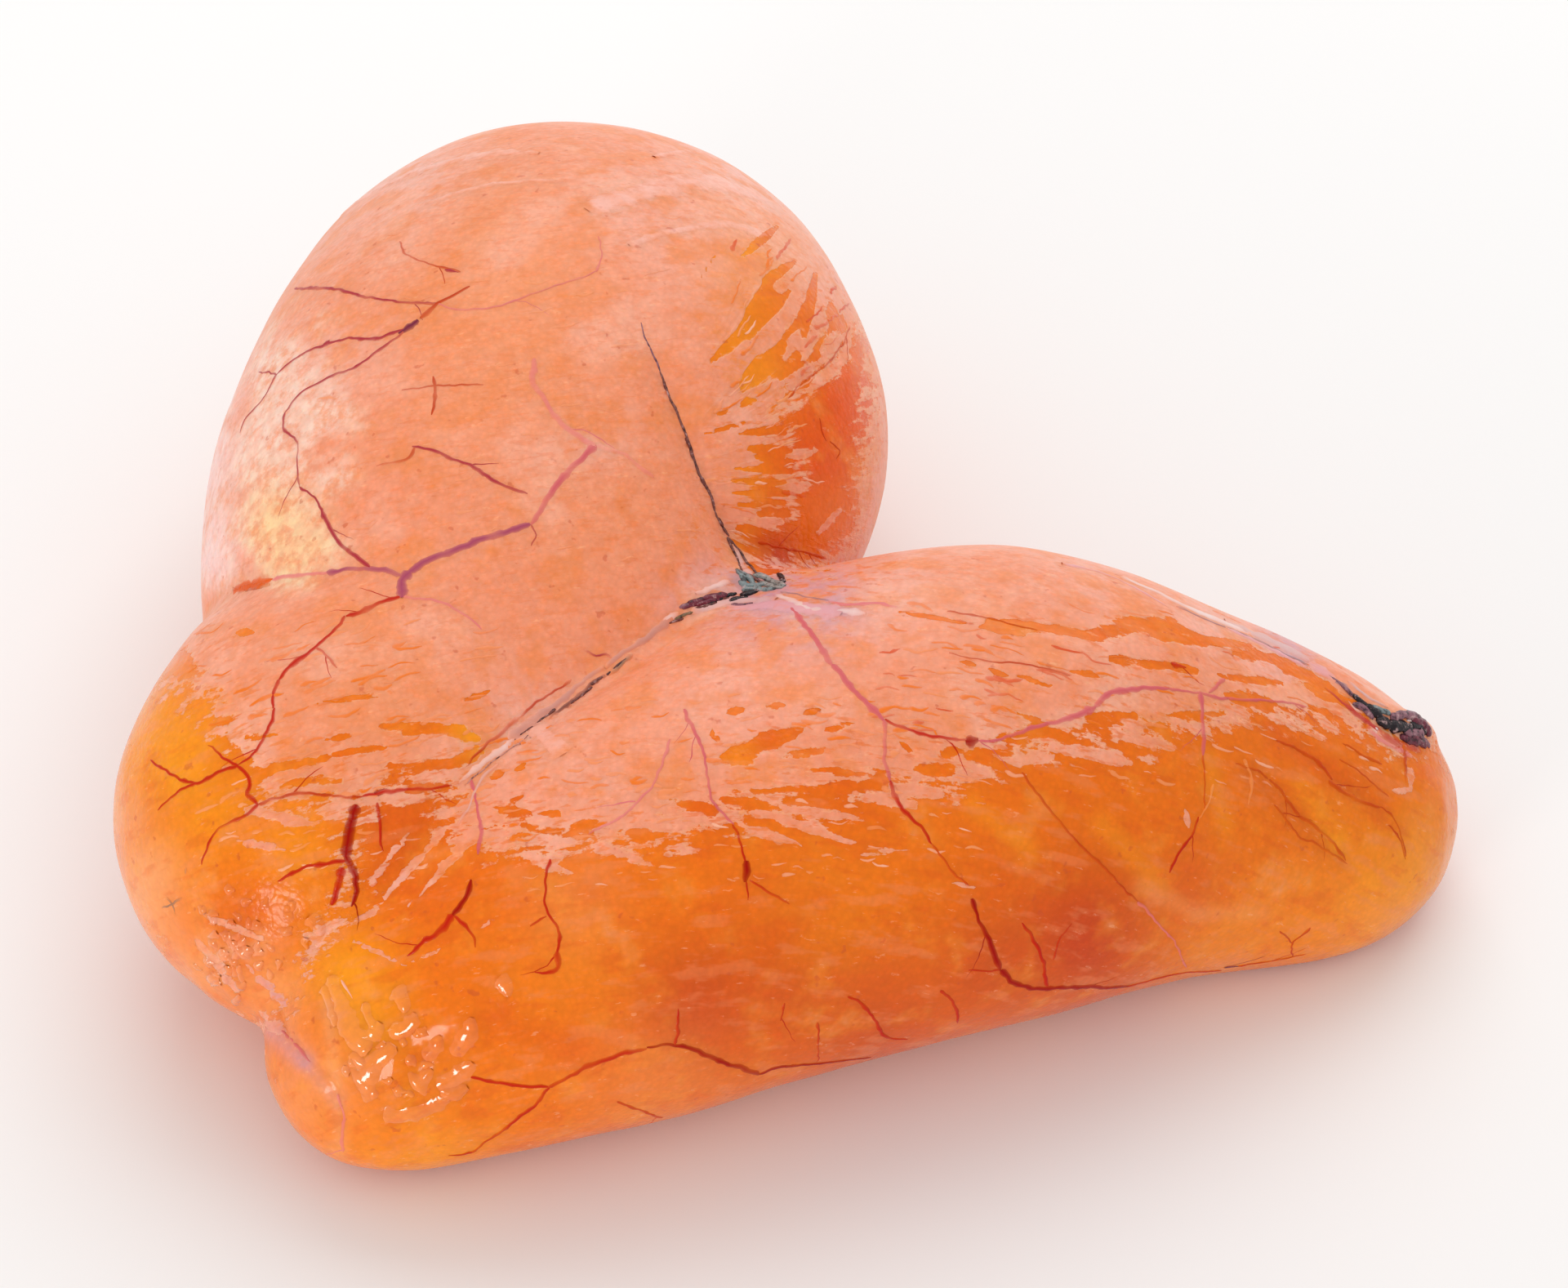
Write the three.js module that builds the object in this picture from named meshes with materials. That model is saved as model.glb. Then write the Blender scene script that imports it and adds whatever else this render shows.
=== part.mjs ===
import * as THREE from "three";

// A whole raw cod roe: the pair of egg sacs of one fish, joined at the front left.
// The left sac runs away from there and ends in a broad dome; the right sac runs to the right and
// narrows. Both lie on a table, in millimetres, +Z up, pressed flat underneath where they rest.
// The origin is on the table, under the middle of the roe.

// Each sac is a row of flattened balls with one skin drawn over them. Its stations are the balls
// that set its course: x and y on the table, radius its half width there, and lift how far its
// underside is held above the others'.
const LEFT_SAC = [
  { x: -56, y: -36, radius: 31 },
  { x: -40.5, y: -14.5, radius: 32.5 },
  { x: -37.5, y: 12, radius: 39.5 },
  { x: -30.5, y: 42.5, radius: 40 },
];
const RIGHT_SAC = [
  { x: -52.5, y: -66.5, radius: 12.5, lift: 3 },
  { x: -30, y: -50.5, radius: 26.5 },
  { x: 1, y: -37.5, radius: 29.5 },
  { x: 29, y: -28, radius: 29.5 },
  { x: 70, y: -23.5, radius: 18.5, lift: -3 },
];
// The right flank of the dome swells over the hollow between the sacs.
const FLANK = [{ x: -29.5, y: 25.5, radius: 45, lift: -2 }];

const LEFT_HEIGHT = 0.84; // height over width of the left sac and its flank
const RIGHT_HEIGHT = 0.88; // the same of the right sac, which is firmer
const SINK = 3; // how far the soft undersides are pressed flat by the table
const BALLS_PER_STEP = 7; // balls from one station to the next
const BALLS_SHARING = 2.2; // balls that swell the skin at any one spot

// How widely the skin is rounded where two things meet.
const BALL_ROUNDING = 3;
const FLANK_ROUNDING = 4;
const SEAM_ROUNDING = 2.4;
const SCRAP_ROUNDING = 2;
const TABLE_ROUNDING = 1.2;

// Creases pressed into the skin, each from its deep end to where it dies out. The flank crease
// climbs from the hub, where the sacs and the flank meet, over the front of the dome. The waist
// crease comes in from the left side, between the dome and the sac's front end.
const FLANK_CREASE = {
  depth: 2.2,
  width: 3.2,
  route: [
    [-6, -13, 44.5],
    [-10, -9, 51],
    [-13, -4, 56.5],
    [-16, 2, 61],
    [-19.5, 10, 65],
    [-21.5, 14.5, 67],
  ],
};
const WAIST_CREASE = {
  depth: 1.8,
  width: 3.6,
  route: [
    [-75.5, -8, 28],
    [-74.5, -13, 41],
    [-68.5, -18, 47.5],
    [-59, -22, 52.5],
    [-49.5, -23.5, 54.5],
  ],
};

// Scraps of gut lining left on the roe: a knot that fills the pit of the hub, and a torn edge over
// the right tip.
const HUB_KNOT = {
  radius: 3.6,
  route: [
    [-14.5, -22, 44.6],
    [-9.5, -18, 43.4],
    [-5, -14, 42.4],
    [-1.5, -15, 42.6],
  ],
};
const TIP_SCRAP = {
  radius: 2.3,
  route: [
    [68, -17.5, 29.6],
    [71.5, -20.5, 29.8],
    [75, -22.5, 28.2],
    [79, -21.5, 25.3],
    [82, -20, 22],
  ],
};
const LINE_BEADS = 24; // spots at which the distance from a crease or scrap is measured

// The net that the skin is drawn with.
const CELL = 3.75; // width of its meshes
const NET_LOW = [-97, -101.5, -7];
const NET_HIGH = [97, 96, 77];
const RELAX_ROUNDS = 14;
const RELAX_SHARE = 0.5; // how far a corner moves towards its neighbours' middle in a round
const CROWD_REACH = 6; // meshes shrink within this distance of a crease or scrap
const CROWDING = 2; // how strongly they do
const DROPS = 2; // moves that bring a corner onto the skin
const PROBE = 0.05; // step with which the slope of a distance is measured
const TABLE_SNAP = 0.05; // corners this near the table lie flat on it

// Balls of one sac, close together along a smooth course through its stations.
function ballsOf(stations, height) {
  const middleOf = (s) => height * s.radius - SINK + (s.lift ?? 0);
  const course = new THREE.SplineCurve(stations.map((s) => new THREE.Vector2(s.x, s.y)));
  const girth = new THREE.SplineCurve(stations.map((s) => new THREE.Vector2(s.radius, middleOf(s))));
  const steps = (stations.length - 1) * BALLS_PER_STEP;
  const balls = [];
  for (let i = 0; i <= steps; i++) {
    const along = steps ? i / steps : 0;
    const { x, y } = course.getPoint(along);
    const { x: radius, y: z } = girth.getPoint(along);
    balls.push({ x, y, z, radius });
  }
  return balls;
}

// Distance from p to the skin over a row of balls that are flattened by height: below 0 inside.
function skinOver(balls, height) {
  const gaps = new Float64Array(balls.length);
  return (p) => {
    let nearest = Infinity;
    balls.forEach((b, i) => {
      gaps[i] = Math.hypot(p.x - b.x, p.y - b.y, (p.z - b.z) / height) - b.radius;
      nearest = Math.min(nearest, gaps[i]);
    });
    let share = 0;
    for (const gap of gaps) share += Math.exp((nearest - gap) / BALL_ROUNDING);
    return nearest - BALL_ROUNDING * (Math.log(share) - Math.log(BALLS_SHARING));
  };
}

// The nearer of two distances, rounded over where they are alike.
function join(a, b, rounding) {
  const h = THREE.MathUtils.clamp(0.5 + (b - a) / (2 * rounding), 0, 1);
  return THREE.MathUtils.lerp(b, a, h) - rounding * h * (1 - h);
}

// Where p is beside a smooth line: its distance, and how far along it is, from 0 to 1.
function besideLine(route) {
  const line = new THREE.CatmullRomCurve3(route.map((q) => new THREE.Vector3(...q)));
  const beads = line.getPoints(LINE_BEADS);
  return (p) => {
    const gaps = beads.map((bead) => p.distanceTo(bead));
    const gap = Math.min(...gaps);
    return { gap, along: gaps.indexOf(gap) / LINE_BEADS };
  };
}

const leftSkin = skinOver(ballsOf(LEFT_SAC, LEFT_HEIGHT), LEFT_HEIGHT);
const flankSkin = skinOver(ballsOf(FLANK, LEFT_HEIGHT), LEFT_HEIGHT);
const rightSkin = skinOver(ballsOf(RIGHT_SAC, RIGHT_HEIGHT), RIGHT_HEIGHT);
const creases = [FLANK_CREASE, WAIST_CREASE].map((c) => ({ ...c, beside: besideLine(c.route) }));
const scraps = [HUB_KNOT, TIP_SCRAP].map((s) => ({ ...s, beside: besideLine(s.route) }));

// Distance from p to the skin of the whole roe: below 0 inside.
function roeSkin(p) {
  const left = join(leftSkin(p), flankSkin(p), FLANK_ROUNDING);
  let skin = join(left, rightSkin(p), SEAM_ROUNDING);
  for (const crease of creases) {
    const { gap, along } = crease.beside(p);
    skin += crease.depth * (1 - along) * Math.exp(-((gap / crease.width) ** 2));
  }
  for (const scrap of scraps) {
    skin = join(skin, scrap.beside(p).gap - scrap.radius, SCRAP_ROUNDING);
  }
  return -join(-skin, p.z, TABLE_ROUNDING);
}

// How closely the corners should crowd at p: 1 on plain skin, more at a seam, crease or scrap.
function crowdingAt(p) {
  const seam = Math.abs(Math.min(leftSkin(p), flankSkin(p)) - rightSkin(p));
  const gaps = [...creases, ...scraps].map((line) => line.beside(p).gap);
  return 1 + CROWDING * Math.exp(-((Math.min(seam, ...gaps) / CROWD_REACH) ** 2));
}

// Moves p straight onto the skin, down the steepest slope of the distance.
function dropOntoSkin(p) {
  const probe = new THREE.Vector3();
  const slope = new THREE.Vector3();
  for (let drop = 0; drop < DROPS; drop++) {
    const here = roeSkin(p);
    for (const axis of ["x", "y", "z"]) {
      probe.copy(p);
      probe[axis] += PROBE;
      slope[axis] = (roeSkin(probe) - here) / PROBE;
    }
    p.addScaledVector(slope, -here / slope.lengthSq());
  }
}

// The grid of posts from which the net is drawn, numbered along X, then Y, then Z.
function gridOfPosts() {
  const count = NET_LOW.map((low, axis) => Math.ceil((NET_HIGH[axis] - low) / CELL) + 1);
  const step = [1, count[0], count[0] * count[1]];
  const spotOf = (post) => step.map((s, axis) => Math.floor(post / s) % count[axis]);
  const placeOf = (post) =>
    new THREE.Vector3(...spotOf(post).map((n, axis) => NET_LOW[axis] + CELL * n));
  const depth = new Float64Array(count[0] * count[1] * count[2]);
  for (let post = 0; post < depth.length; post++) depth[post] = roeSkin(placeOf(post));
  const cuts = (a, b) => depth[a] < 0 !== depth[b] < 0;
  const cutBetween = (a, b) => placeOf(a).lerp(placeOf(b), depth[a] / (depth[a] - depth[b]));
  const isLast = (post) => spotOf(post).some((n, axis) => n === count[axis] - 1);
  return { depth, step, cuts, cutBetween, isLast };
}

// The twelve edges of a cell, as pairs of steps from its first post.
function edgesOfCell([x, y, z]) {
  const edges = [];
  for (const [along, side, up] of [[x, y, z], [y, z, x], [z, x, y]]) {
    for (const from of [0, side, up, side + up]) edges.push([from, from + along]);
  }
  return edges;
}

// A closed net over the skin: a corner in the middle of each cell that the skin passes through,
// and a four-sided mesh, split in two, round each edge that it cuts.
function netOverSkin() {
  const { depth, step, cuts, cutBetween, isLast } = gridOfPosts();
  const edges = edgesOfCell(step);
  const corners = [];
  const cornerIn = new Map();
  for (let cell = 0; cell < depth.length; cell++) {
    if (isLast(cell)) continue;
    const cut = edges.filter(([a, b]) => cuts(cell + a, cell + b));
    if (!cut.length) continue;
    const corner = new THREE.Vector3();
    for (const [a, b] of cut) corner.add(cutBetween(cell + a, cell + b));
    cornerIn.set(cell, corners.length);
    corners.push(corner.divideScalar(cut.length));
  }

  const faces = [];
  for (let post = 0; post < depth.length; post++) {
    if (isLast(post)) continue;
    step.forEach((along, axis) => {
      if (!cuts(post, post + along)) return;
      const back = step[(axis + 1) % 3];
      const side = step[(axis + 2) % 3];
      const cells = [post, post - back, post - back - side, post - side];
      const round = cells.map((cell) => cornerIn.get(cell));
      if (depth[post] >= 0) round.reverse();
      const [a, b, c, d] = round;
      const shortWay = corners[a].distanceTo(corners[c]) < corners[b].distanceTo(corners[d]);
      if (shortWay) faces.push(a, b, c, a, c, d);
      else faces.push(b, c, d, b, d, a);
    });
  }
  return { corners, faces };
}

// Slides the corners over the skin, each towards the middle of its neighbours, to even the net.
function relax({ corners, faces }) {
  const neighbours = corners.map(() => new Set());
  for (let i = 0; i < faces.length; i += 3) {
    const [a, b, c] = faces.slice(i, i + 3);
    neighbours[a].add(b).add(c);
    neighbours[b].add(c).add(a);
    neighbours[c].add(a).add(b);
  }
  corners.forEach(dropOntoSkin);
  for (let round = 0; round < RELAX_ROUNDS; round++) {
    const pulls = corners.map(crowdingAt);
    corners.forEach((corner, i) => {
      const middle = new THREE.Vector3();
      let pull = 0;
      for (const j of neighbours[i]) {
        middle.addScaledVector(corners[j], pulls[j]);
        pull += pulls[j];
      }
      corner.lerp(middle.divideScalar(pull), RELAX_SHARE);
      dropOntoSkin(corner);
    });
  }
}

function makeRoe() {
  const net = netOverSkin();
  relax(net);
  for (const corner of net.corners) if (corner.z < TABLE_SNAP) corner.z = 0;
  const geometry = new THREE.BufferGeometry().setFromPoints(net.corners);
  geometry.setIndex(net.faces);
  geometry.computeVertexNormals();
  geometry.computeBoundingBox();
  const middle = geometry.boundingBox.getCenter(new THREE.Vector3());
  const membrane = new THREE.MeshStandardMaterial({ color: 0xf0884a, roughness: 0.3, metalness: 0 });
  const roe = new THREE.Mesh(geometry, membrane);
  roe.name = "roe";
  roe.position.set(-middle.x, -middle.y, 0);
  return roe;
}

const codRoe = new THREE.Group();
codRoe.add(makeRoe());

export default codRoe;
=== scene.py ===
import math
import random

import bpy
import numpy as np
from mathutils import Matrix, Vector, noise
from mathutils.bvhtree import BVHTree
from mathutils.kdtree import KDTree


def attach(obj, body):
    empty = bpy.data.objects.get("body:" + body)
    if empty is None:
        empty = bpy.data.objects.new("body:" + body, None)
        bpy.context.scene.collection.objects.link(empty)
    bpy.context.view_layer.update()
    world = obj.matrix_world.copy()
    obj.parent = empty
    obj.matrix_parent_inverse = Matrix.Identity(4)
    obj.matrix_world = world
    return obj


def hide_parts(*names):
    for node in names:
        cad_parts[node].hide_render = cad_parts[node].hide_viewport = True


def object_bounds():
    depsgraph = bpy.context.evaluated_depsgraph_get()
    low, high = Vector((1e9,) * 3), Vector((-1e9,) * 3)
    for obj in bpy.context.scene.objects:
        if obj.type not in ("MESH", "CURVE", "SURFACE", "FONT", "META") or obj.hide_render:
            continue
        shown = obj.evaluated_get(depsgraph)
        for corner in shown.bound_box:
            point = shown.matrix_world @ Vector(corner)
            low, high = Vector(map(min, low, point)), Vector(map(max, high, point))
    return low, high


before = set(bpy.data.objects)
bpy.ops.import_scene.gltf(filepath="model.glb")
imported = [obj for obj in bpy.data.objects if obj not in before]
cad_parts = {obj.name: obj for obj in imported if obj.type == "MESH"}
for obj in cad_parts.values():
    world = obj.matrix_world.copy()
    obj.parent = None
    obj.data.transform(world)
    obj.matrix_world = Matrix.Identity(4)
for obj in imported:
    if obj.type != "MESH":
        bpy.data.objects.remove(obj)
cad_low, cad_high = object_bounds()

# The camera looks down on the roe from the front, from the height and distance that give its
# outline the photograph's shape.
PHOTO_WIDTH, PHOTO_HEIGHT = 1920, 1577
CAMERA_AIM = Vector((-0.00173, -0.01113, 0.030))
CAMERA_DROP = math.radians(44)
CAMERA_FIELD = math.radians(22)
CAMERA_DISTANCE = 0.52845
sight = Vector((0, math.cos(CAMERA_DROP), -math.sin(CAMERA_DROP)))
camera_place = CAMERA_AIM - CAMERA_DISTANCE * sight
bpy.ops.object.camera_add(location=camera_place, rotation=sight.to_track_quat("-Z", "Y").to_euler())
camera = bpy.context.object
camera.data.angle = CAMERA_FIELD
bpy.context.scene.camera = camera

# The studio: a plain white tabletop in a pale room, a wide soft light above and behind, and a
# narrow one low at the front left, which the wet front end of the roe mirrors.
FLOOR_WIDTH = 8.0
FLOOR_GAP = 0.0003
FLOOR_WHITE = (0.90, 0.90, 0.90, 1)
ROOM_WHITE = (1.0, 0.985, 0.97, 1)
ROOM_LIGHT = 0.76
SOFT_LIGHT = {"place": (0.15, 0.75, 1.0), "width": 1.3, "depth": 1.0, "watts": 7}
FRONT_LIGHT = {"place": (-0.50, -0.75, 0.16), "width": 0.24, "depth": 0.20, "watts": 2.3}


def shader(owner):
    """The emptied node tree of a material or world, and its output."""
    owner.use_nodes = True
    tree = owner.node_tree
    tree.nodes.clear()
    kind = "ShaderNodeOutputWorld" if owner.id_type == "WORLD" else "ShaderNodeOutputMaterial"
    return tree, tree.nodes.new(kind)


def add(tree, kind, inputs, **settings):
    """A new shader node with its settings, its inputs given values or joined to other sockets."""
    made = tree.nodes.new("ShaderNode" + kind)
    for name, value in settings.items():
        setattr(made, name, value)
    for name, value in inputs.items():
        if isinstance(value, bpy.types.NodeSocket):
            tree.links.new(value, made.inputs[name])
        else:
            made.inputs[name].default_value = value
    return made


bpy.ops.object.select_all(action="DESELECT")
bpy.ops.mesh.primitive_plane_add(size=FLOOR_WIDTH, location=(0, 0, -FLOOR_GAP))
floor = bpy.context.object
floor.name = "tabletop"
white_top = bpy.data.materials.new("white tabletop")
tree, out = shader(white_top)
paint = add(tree, "BsdfPrincipled", {"Base Color": FLOOR_WHITE, "Roughness": 0.8})
tree.links.new(paint.outputs[0], out.inputs["Surface"])
floor.data.materials.append(white_top)

room = bpy.data.worlds.new("pale room")
bpy.context.scene.world = room
tree, out = shader(room)
air = add(tree, "Background", {"Color": ROOM_WHITE, "Strength": ROOM_LIGHT})
tree.links.new(air.outputs[0], out.inputs["Surface"])

for name, lamp in (("soft light", SOFT_LIGHT), ("front light", FRONT_LIGHT)):
    place = Vector(lamp["place"])
    turn = (CAMERA_AIM - place).to_track_quat("-Z", "Y").to_euler()
    bpy.ops.object.light_add(type="AREA", location=place, rotation=turn)
    light = bpy.context.object
    light.name = name
    light.data.shape = "RECTANGLE"
    light.data.size, light.data.size_y = lamp["width"], lamp["depth"]
    light.data.energy = lamp["watts"]
bpy.context.scene.view_settings.view_transform = "Standard"

# The roe: two soft egg sacs in one thin wet skin, pressed together at the front left. The mesh is
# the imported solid's, rounded, and then creased and puckered as the real skin is.
SKIN_MESH = 0.00072
SKIN_SMOOTHING = 9
UNEVEN = ((0.030, 0.00055), (0.013, 0.00022), (0.006, 0.00006))  # wavelength, height

RIGHT = Vector((1, 0, 0))
photo_up = RIGHT.cross(sight)
focal = PHOTO_WIDTH / 2 / math.tan(CAMERA_FIELD / 2)

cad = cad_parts["roe"]
roe = bpy.data.objects.new("roe_skin", cad.data.copy())
bpy.context.scene.collection.objects.link(roe)


def work_on(piece):
    """Selects one piece alone, with all of its mesh, in edit mode."""
    bpy.ops.object.select_all(action="DESELECT")
    piece.select_set(True)
    bpy.context.view_layer.objects.active = piece
    bpy.ops.object.mode_set(mode="EDIT")
    bpy.ops.mesh.select_all(action="SELECT")


work_on(roe)
bpy.ops.mesh.remove_doubles(threshold=1e-6)
bpy.ops.object.mode_set(mode="OBJECT")
roe.data.materials.clear()


def finish_with(kind, **settings):
    """Puts a modifier on the active object and applies it."""
    modifier = bpy.context.object.modifiers.new(kind.lower(), kind)
    for name, value in settings.items():
        setattr(modifier, name, value)
    bpy.ops.object.modifier_apply(modifier=modifier.name)


finish_with("SUBSURF", levels=2, render_levels=2)
finish_with("REMESH", mode="VOXEL", voxel_size=SKIN_MESH)
finish_with("SMOOTH", factor=0.5, iterations=SKIN_SMOOTHING)


def spots_of(mesh):
    """The places and outward directions of a mesh's corners, as arrays."""
    places = np.empty(len(mesh.vertices) * 3)
    normals = np.empty(len(mesh.vertices) * 3)
    mesh.vertices.foreach_get("co", places)
    mesh.vertices.foreach_get("normal", normals)
    return places.reshape(-1, 3), normals.reshape(-1, 3)


def seen_from(u, v):
    """The direction from the camera through a point of the photograph, in its own pixels."""
    across = (u - PHOTO_WIDTH / 2) * RIGHT
    upward = (PHOTO_HEIGHT / 2 - v) * photo_up
    return (focal * sight + across + upward).normalized()


def lay_on_skin(points):
    """The places where points of the photograph lie on the skin."""
    laid = []
    for u, v in points:
        hit = skin_tree.ray_cast(camera_place, seen_from(u, v))[0]
        if hit is not None:
            laid.append(hit)
    return laid


def smooth_line(points, step):
    """A smooth line through points, as places one step apart."""
    ends = [2 * points[0] - points[1]] + list(points) + [2 * points[-1] - points[-2]]
    line = []
    for before, a, b, after in zip(ends, ends[1:], ends[2:], ends[3:]):
        count = max(1, round((b - a).length / step))
        for i in range(count):
            t = i / count
            bend = (2 * a - 2 * b + (b - before) / 2 + (after - a) / 2) * t**3
            bend += (3 * b - 3 * a - (b - before) - (after - a) / 2) * t**2
            line.append(bend + (b - before) / 2 * t + a)
    return line + [points[-1]]


# Creases in the skin: how deep and how wide, and their course over the photograph.
CREASES = (
    (0.0009, 0.0012, ((785, 395), (820, 490), (850, 560), (880, 630), (905, 690), (920, 712))),
    (0.0011, 0.0016, ((920, 715), (850, 752), (800, 790), (740, 830), (650, 895), (570, 960))),
    (0.0012, 0.0022, ((570, 960), (520, 1020), (470, 1090), (430, 1120), (395, 1150), (350, 1215))),
    (0.0008, 0.0018, ((252, 735), (300, 716), (400, 706), (480, 700))),
    (0.0009, 0.0013, ((372, 1165), (352, 1210), (340, 1245), (372, 1290), (412, 1335), (416, 1400))),
    (0.0005, 0.0010, ((545, 1000), (500, 1050), (455, 1100))),
    (0.0005, 0.0010, ((590, 1035), (545, 1075), (500, 1110), (470, 1150))),
    (0.0004, 0.0009, ((1040, 375), (1031, 433), (993, 462), (950, 500))),
    (0.0004, 0.0009, ((1513, 935), (1558, 955), (1591, 1000), (1619, 1020), (1648, 1053))),
    (0.0004, 0.0009, ((1562, 906), (1611, 931), (1650, 965), (1690, 985))),
)
CREASE_STEP = 0.001
CREASE_REACH = 4  # in crease widths
FLAT_FOOT = 0.004  # below this height the skin flattens out towards the tabletop
# Where the wet skin is puckered: the middle in the photograph, the reach and how much.
WET_DABS = (
    (490, 1290, 90, 1.0), (440, 1210, 60, 1.0), (275, 1190, 60, 0.4), (550, 1345, 55, 0.9),
    (240, 1140, 36, 0.4), (300, 1235, 36, 0.4), (1060, 1020, 50, 0.3),
    (1730, 980, 45, 0.5), (1455, 1005, 30, 0.4),
)
PUCKERS = ((0.0062, 0.00085), (0.0030, 0.00034))  # wavelength, height
BOX_GAP = 1e-5
FACING = (-0.3, -0.05)  # how far a corner may turn from the camera before it counts as unseen


def seen_at(places, normals):
    """Where the corners lie in the photograph, across and down, and how far they face the camera."""
    ray = places - np.array(camera_place)
    depth = ray @ np.array(sight)
    facing = -np.einsum("ij,ij->i", normals, ray) / np.linalg.norm(ray, axis=1)
    across = PHOTO_WIDTH / 2 + focal * ray[:, 0] / depth
    down = PHOTO_HEIGHT / 2 - focal * (ray @ np.array(photo_up)) / depth
    return across, down, np.clip((facing - FACING[0]) / (FACING[1] - FACING[0]), 0, 1)


def dab(u, v, reach):
    """A soft round brush mark over the skin, 1 in the middle."""
    return np.exp(-(((across - u) ** 2 + (down - v) ** 2) / reach**2)) * shown


places, normals = spots_of(roe.data)
faces = [tuple(face.vertices) for face in roe.data.polygons]
skin_tree = BVHTree.FromPolygons([Vector(p) for p in places], faces)
across, down, shown = seen_at(places, normals)
wet = np.zeros(len(places))
for u, v, reach, much in WET_DABS:
    wet = np.maximum(wet, much * dab(u, v, reach))
moved = np.zeros(len(places))
for scale, waves in ((np.ones(len(places)), UNEVEN), (wet, PUCKERS)):
    for wavelength, height in waves:
        for i in np.nonzero(scale > 0.02)[0]:
            moved[i] += scale[i] * height * noise.noise(Vector(places[i]) / wavelength)
for depth, width, course in CREASES:
    line = smooth_line(lay_on_skin(course), CREASE_STEP)
    beads = KDTree(len(line))
    for i, bead in enumerate(line):
        beads.insert(bead, i)
    beads.balance()
    for i, p in enumerate(places):
        _, bead, gap = beads.find(p)
        if gap < CREASE_REACH * width:
            share = bead / len(line)
            fade = min(1, 4 * (1 - share), 0.2 + 4 * share)
            moved[i] -= depth * fade * (math.exp(-gap / width) - math.exp(-CREASE_REACH))
lift = np.clip(places[:, 2] / FLAT_FOOT, 0, 1)
places = places + normals * (moved * lift)[:, None]
places = np.clip(places, np.array(cad_low) + BOX_GAP, np.array(cad_high) - BOX_GAP)
roe.data.vertices.foreach_set("co", places.ravel())
roe.data.update()
places, normals = spots_of(roe.data)
skin_tree = BVHTree.FromPolygons([Vector(p) for p in places], faces)

# How the skin is coloured. Bare, it is the eggs' orange. Most of the top is veiled in pale pink, partly
# a thin milky film and partly painted sheen, the soft light's reflection painted where the skin faces
# up;
# the veil is torn into streaks along its edge.
ORANGE = (236, 114, 12)
YELLOW = (246, 148, 12)
AMBER = (248, 150, 24)
BLUSH = (244, 158, 96)
DEEP = (216, 72, 8)
FIERY = (232, 80, 0)
BRICK = (200, 66, 16)
FILM_SHEEN = (240, 151, 116)
MILKY = (242, 180, 164)
ROSY = (250, 206, 200)
PEACH = (240, 148, 92)
LILAC = (204, 154, 170)
CREAM = (250, 216, 198)
STRAW = (252, 216, 162)


def colour(rgb, alpha=1.0):
    """A colour of 0 to 255 as the shaders take it."""
    parts = [c / 255 for c in rgb]
    return tuple(c / 12.92 if c < 0.04045 else ((c + 0.055) / 1.055) ** 2.4 for c in parts) + (alpha,)


# Where the skin is bare of the film and its painted sheen in the photograph: the dome's right flank,
# the left lobe, the front of the right sac.
BARE = (
    (
        (1045, 400), (1060, 412), (1061, 465), (1060, 509), (1056, 553), (1052, 580), (1040, 600),
        (1046, 640), (1030, 672), (985, 688), (925, 688), (907, 664), (930, 646), (965, 632),
        (985, 600), (974, 570), (968, 524), (957, 509), (987, 480), (1022, 446), (1040, 418),
    ),
    (
        (560, 962), (545, 1010), (600, 1045), (700, 1040), (800, 1038), (850, 1025), (900, 1000),
        (1000, 978), (1100, 962), (1180, 960), (1230, 930), (1300, 902), (1400, 906), (1500, 886),
        (1560, 872), (1640, 884), (1700, 906), (1760, 905), (1830, 960), (1780, 1160), (1600, 1240),
        (1000, 1380), (510, 1500), (300, 1400), (300, 1255), (372, 1200), (388, 1140), (430, 1110),
        (432, 1000), (480, 965),
    ),
    (
        (205, 830), (170, 800), (100, 960), (120, 1100), (240, 1260), (372, 1260), (388, 1140),
        (430, 1110), (432, 1000), (400, 990), (330, 985), (300, 940), (285, 925), (262, 880),
        (250, 850),
    ),
)
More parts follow.
